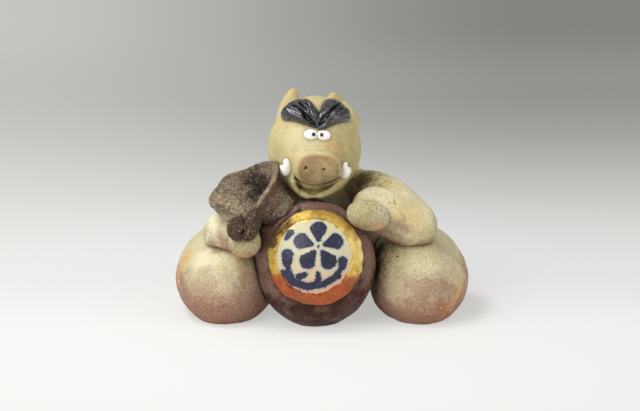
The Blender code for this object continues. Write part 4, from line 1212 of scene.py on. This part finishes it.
# Creases gathered below the sack's mouth, creases in the mouth's wall, and the gap between the two
# folds of its rim; the first and the last get painted shade
SACK_CREASES = [
    [(292.0, 207.0), (281.0, 214.0), (271.0, 226.0)],
    [(300.0, 210.0), (289.0, 217.0), (280.0, 227.0)],
    [(287.0, 204.5), (277.0, 210.0), (268.0, 217.5)],
]
WALL_CREASES = [
    [(264.0, 196.0), (260.0, 208.0), (258.0, 222.0)],
    [(281.0, 203.0), (272.0, 214.0), (263.0, 224.0)],
    [(274.0, 186.0), (269.0, 198.0), (266.0, 212.0)],
]
FOLD_GAP = [(243.0, 216.0), (244.6, 222.0), (244.8, 228.0), (242.8, 234.0)]


class BOAR_OT_sack(bpy.types.Operator):
    """Kneads the sack with its gathers, and its open mouth with the folds of its rim"""
    bl_idname = "boar.sack"
    bl_label = "Sack"

    def execute(self, context):
        sizes = context.scene.boar_sizes
        bag = ("sack_body", "upper_gather", "lower_gather")
        piece = knead("sack_clay", bag, sizes.sack_mesh, relax=2, grit=0.0003)
        press(piece, SACK_CREASES, width=0.0010, depth=0.0009, keep_mark=True)
        wash(piece, *bag)
        finish(piece, sack_clay("sack_stoneware"), "brown_clay", *bag)
        mouth = ("sack_mouth", "mouth_fold")
        piece = knead("sack_mouth_clay", mouth, sizes.mouth_mesh, relax=2, dents=0.0008,
                      grit=0.0008, grit_size=0.0015)
        press(piece, [FOLD_GAP], width=0.0007, depth=0.0020, keep_mark=True)
        press(piece, WALL_CREASES, width=0.0009, depth=0.0006)
        near_to(piece, "fold", ["mouth_fold"], reach=0.0012)
        wash(piece, *mouth)
        finish(piece, sack_clay("mouth_stoneware", mouth=True), "brown_clay", *mouth)
        return {"FINISHED"}


# A spray of plum blossom, in metres from the medallion's middle: its lines, each with its first
# and its last width, and the petals round the blossom's own middle
BRANCHES = [
    ([(-0.0150, -0.0085), (-0.0105, -0.0125), (-0.0030, -0.0148), (0.0050, -0.0135),
      (0.0120, -0.0092)], 0.0021, 0.0016),
    ([(-0.0098, -0.0122), (-0.0122, -0.0075), (-0.0128, -0.0035)], 0.0018, 0.0012),
    ([(0.0010, -0.0142), (0.0026, -0.0108), (0.0022, -0.0086)], 0.0018, 0.0012),
    ([(0.0105, -0.0100), (0.0136, -0.0055)], 0.0016, 0.0012),
]
BUDS = [
    ([(-0.0130, -0.0030), (-0.0128, 0.0006)], 0.0024, 0.0031),
    ([(0.0138, -0.0048), (0.0142, -0.0022)], 0.0020, 0.0024),
    ([(-0.0070, -0.0102), (-0.0040, -0.0090)], 0.0019, 0.0012),
    ([(-0.0134, 0.0088), (-0.0116, 0.0116)], 0.0012, 0.0019),
]
BLOSSOM = (0.0022, 0.0046)
BLOSSOM_DOT = 0.0008
PETALS = 5
PETAL_START = 0.0036
PETAL_LENGTH = 0.0048
PETAL_WIDTHS = (0.0014, 0.0042)


def petals():
    """Teardrop dabs round the blossom's middle, and a dot in it."""
    strokes = [([BLOSSOM, BLOSSOM], BLOSSOM_DOT, BLOSSOM_DOT)]
    for turn in range(PETALS):
        angle = math.radians(90 + 360 * turn / PETALS)
        way = np.array((math.cos(angle), math.sin(angle)))
        start = np.array(BLOSSOM) + way * PETAL_START
        strokes.append(([start, start + way * PETAL_LENGTH], *PETAL_WIDTHS))
    return strokes


def across_face(disc, middle):
    """Each corner's place on the medallion's face: how far right and how far up of its middle."""
    places, normals = corners_of(disc)
    front = normals[normals[:, 1] < -0.7].mean(axis=0)
    front /= np.linalg.norm(front)
    right = np.cross(np.array(UP), front)
    right /= np.linalg.norm(right)
    above = np.cross(front, right)
    offset = places - np.array(middle)
    return np.stack([offset @ right, offset @ above], axis=1)


class BOAR_OT_medallion(bpy.types.Operator):
    """Paints the medallion: a gold ring round a cream field with a blue blossom"""
    bl_idname = "boar.medallion"
    bl_label = "Medallion"

    def execute(self, context):
        mesh = context.scene.boar_sizes.medallion_mesh
        low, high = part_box("medallion_disc")
        middle = (low + high) / 2
        ring = knead("medallion_ring_lustre", ["medallion_ring"], mesh, relax=3, dents=0.0006,
                     grit=0.0002)
        dent(ring, "brushed_edge", depth=0.0012, size=0.0060)
        finish(ring, lustre("gold_lustre_brushed", middle), "gold_lustre", "medallion_ring")
        disc = knead("medallion_disc_glazed", ["medallion_disc"], mesh, relax=3, dents=0.0002,
                     grit=0.00005)
        spots = across_face(disc, middle)
        lines = petals() + BRANCHES + BUDS
        store(disc, "spread", np.linalg.norm(spots, axis=1))
        store(disc, "ink", np.min([distance_to(spots, *line) for line in lines], axis=0))
        finish(disc, painted_glaze("cream_glazed", middle), "cream_glaze", "medallion_disc")
        return {"FINISHED"}


# The painted greys that the floor's far part glows with, darker far off and at the right as the
# studio's light falls off, at its left and right, at these stops from its far end to its near end,
# and how much less blue than red they have
GREY_STOPS = (0.05, 0.20, 0.65, 0.80)
LEFT_PAINTED_GREYS = (199, 193, 235, 243)
RIGHT_PAINTED_GREYS = (132, 148, 225, 238)
GREY_WARMTH = 3

# How steeply down and how far aside the camera looks at those ends and sides, as slopes
NEAR_DIP = 0.334
FAR_DIP = 0.082
LEFT_BEARING = -0.215
RIGHT_BEARING = 0.135

# The least distance from the camera that the slopes are worked out for, then the stretch over
# which the greys take over from the lit floor, and their share where it starts and ends
LEAST_AWAY = 0.3
GREY_REACH = (0.09, 0.34)
GREY_SHARE = (0.55, 1.0)
FLOOR_RADIUS = 4.0
FLOOR_SIDES = 96


def painted_grey_ramp(recipe, row, levels):
    """The painted greys of one side of the floor, from its far end to its near end."""
    ramp = recipe.add("ShaderNodeValToRGB", {0: row})
    ramp.color_ramp.interpolation = "EASE"
    while len(ramp.color_ramp.elements) < len(levels):
        ramp.color_ramp.elements.new(0.5)
    for element, stop, level in zip(ramp.color_ramp.elements, GREY_STOPS, levels):
        element.position = stop
        element.color = (*paint(level, level, level - GREY_WARMTH), 1)
    return ramp.outputs["Color"]


def floor_finish(name):
    """Pale floor without a seam, whose far part glows to camera and gloss with painted greys that
    stand in for the studio's light falling off.
    """
    stage = bpy.context.scene.boar_stage
    recipe = Recipe(name)
    across = recipe.add("ShaderNodeSeparateXYZ", {0: recipe.place})
    away = recipe.math("ADD", across.outputs["Y"], -stage.camera_place[1])
    away = recipe.math("MAXIMUM", away, LEAST_AWAY)
    dip = recipe.math("DIVIDE", stage.camera_place[2], away)
    row = recipe.math("DIVIDE", recipe.math("SUBTRACT", dip, FAR_DIP), NEAR_DIP - FAR_DIP)
    side = recipe.step(recipe.math("DIVIDE", across.outputs["X"], away), LEFT_BEARING,
                       RIGHT_BEARING)
    grey = recipe.mix(side, painted_grey_ramp(recipe, row, LEFT_PAINTED_GREYS),
                      painted_grey_ramp(recipe, row, RIGHT_PAINTED_GREYS))
    path = recipe.add("ShaderNodeLightPath")
    seen = recipe.math("MAXIMUM", path.outputs["Is Camera Ray"], path.outputs["Is Glossy Ray"])
    far = recipe.step(recipe.distance((0.0, 0.0, 0.0)), *GREY_REACH, *GREY_SHARE)
    recipe.shade(Base_Color=stage.floor, Roughness=0.9)
    painted_glow = recipe.add("ShaderNodeEmission", {"Color": grey, "Strength": 1.0})
    both = recipe.add("ShaderNodeMixShader", {0: recipe.math("MULTIPLY", far, seen),
                                              1: recipe.shader.outputs[0],
                                              2: painted_glow.outputs[0]})
    output = recipe.tree.nodes["Material Output"]
    recipe.tree.links.new(both.outputs[0], output.inputs["Surface"])
    return recipe.material


# Each lamp's place, width and height, and what all of them point at
LAMPS = {
    "softbox": ((-0.52, -0.72, 0.62), 0.6, 0.45),
    "top_card": ((-0.38, -0.12, 0.85), 0.45, 0.3),
    "side_card": ((0.62, -0.30, 0.30), 0.2, 0.5),
}
LAMP_TARGET = Vector((0, 0, 0.05))


def add_lamp(scene, name, place, width, height):
    """Stands a soft rectangular lamp at this place and turns it to the figurine."""
    lamp = bpy.data.lights.new(name, "AREA")
    lamp.shape = "RECTANGLE"
    lamp.size = width
    lamp.size_y = height
    lamp.energy = getattr(scene.boar_stage, f"{name}_power")
    stand = bpy.data.objects.new(name, lamp)
    stand.location = place
    stand.rotation_euler = (LAMP_TARGET - stand.location).to_track_quat("-Z", "Y").to_euler()
    scene.collection.objects.link(stand)


def light_room(scene):
    """Fills in from all round with a plain world."""
    world = bpy.data.worlds.new("studio")
    world.use_nodes = True
    background = world.node_tree.nodes["Background"]
    background.inputs["Color"].default_value = (*scene.boar_stage.room, 1)
    background.inputs["Strength"].default_value = scene.boar_stage.fill
    scene.world = world


def add_camera(scene):
    """Stands the camera where the photograph was taken from."""
    stage = scene.boar_stage
    camera = bpy.data.objects.new("camera", bpy.data.cameras.new("camera"))
    camera.data.lens = stage.camera_lens
    camera.location = stage.camera_place
    camera.rotation_euler = (math.pi / 2 - stage.camera_tilt, 0, 0)
    scene.collection.objects.link(camera)
    scene.camera = camera


class BOAR_OT_stage(bpy.types.Operator):
    """Sets the pale floor, the light and the camera"""
    bl_idname = "boar.stage"
    bl_label = "Stage"

    def execute(self, context):
        scene = context.scene
        deselect()
        bpy.ops.mesh.primitive_circle_add(vertices=FLOOR_SIDES, radius=FLOOR_RADIUS,
                                          fill_type="NGON")
        floor = bpy.context.object
        floor.name = "floor"
        floor.data.materials.append(floor_finish("pale_floor"))
        for name, (place, width, height) in LAMPS.items():
            add_lamp(scene, name, place, width, height)
        light_room(scene)
        add_camera(scene)
        scene.view_settings.view_transform = "Standard"
        return {"FINISHED"}


STEPS = (BOAR_OT_body, BOAR_OT_head, BOAR_OT_brows, BOAR_OT_eyes, BOAR_OT_sack, BOAR_OT_medallion,
         BOAR_OT_stage)
GROUPS = {"boar_sizes": BoarSizes, "boar_colours": BoarColours, "boar_stage": BoarStage}


class BOAR_PT_panel(bpy.types.Panel):
    """Shows the sizes and the colours, then lists the pieces in the order they are made"""
    bl_idname = "BOAR_PT_panel"
    bl_label = "Boar"
    bl_space_type = "VIEW_3D"
    bl_region_type = "UI"
    bl_category = "Boar"

    def draw(self, context):
        for name, kind in GROUPS.items():
            box = self.layout.box()
            for key in kind.__annotations__:
                box.prop(getattr(context.scene, name), key)
        for step in STEPS:
            self.layout.operator(step.bl_idname)


def register():
    for group in GROUPS.values():
        bpy.utils.register_class(group)
    for key, group in GROUPS.items():
        setattr(bpy.types.Scene, key, bpy.props.PointerProperty(type=group))
    for step in (*STEPS, BOAR_PT_panel):
        bpy.utils.register_class(step)


def unregister():
    for step in (*STEPS, BOAR_PT_panel):
        bpy.utils.unregister_class(step)
    for key, group in GROUPS.items():
        delattr(bpy.types.Scene, key)
        bpy.utils.unregister_class(group)


def main():
    register()
    bpy.ops.boar.body()
    bpy.ops.boar.head()
    bpy.ops.boar.brows()
    bpy.ops.boar.eyes()
    bpy.ops.boar.sack()
    bpy.ops.boar.medallion()
    bpy.ops.boar.stage()


if __name__ == "__main__":
    main()
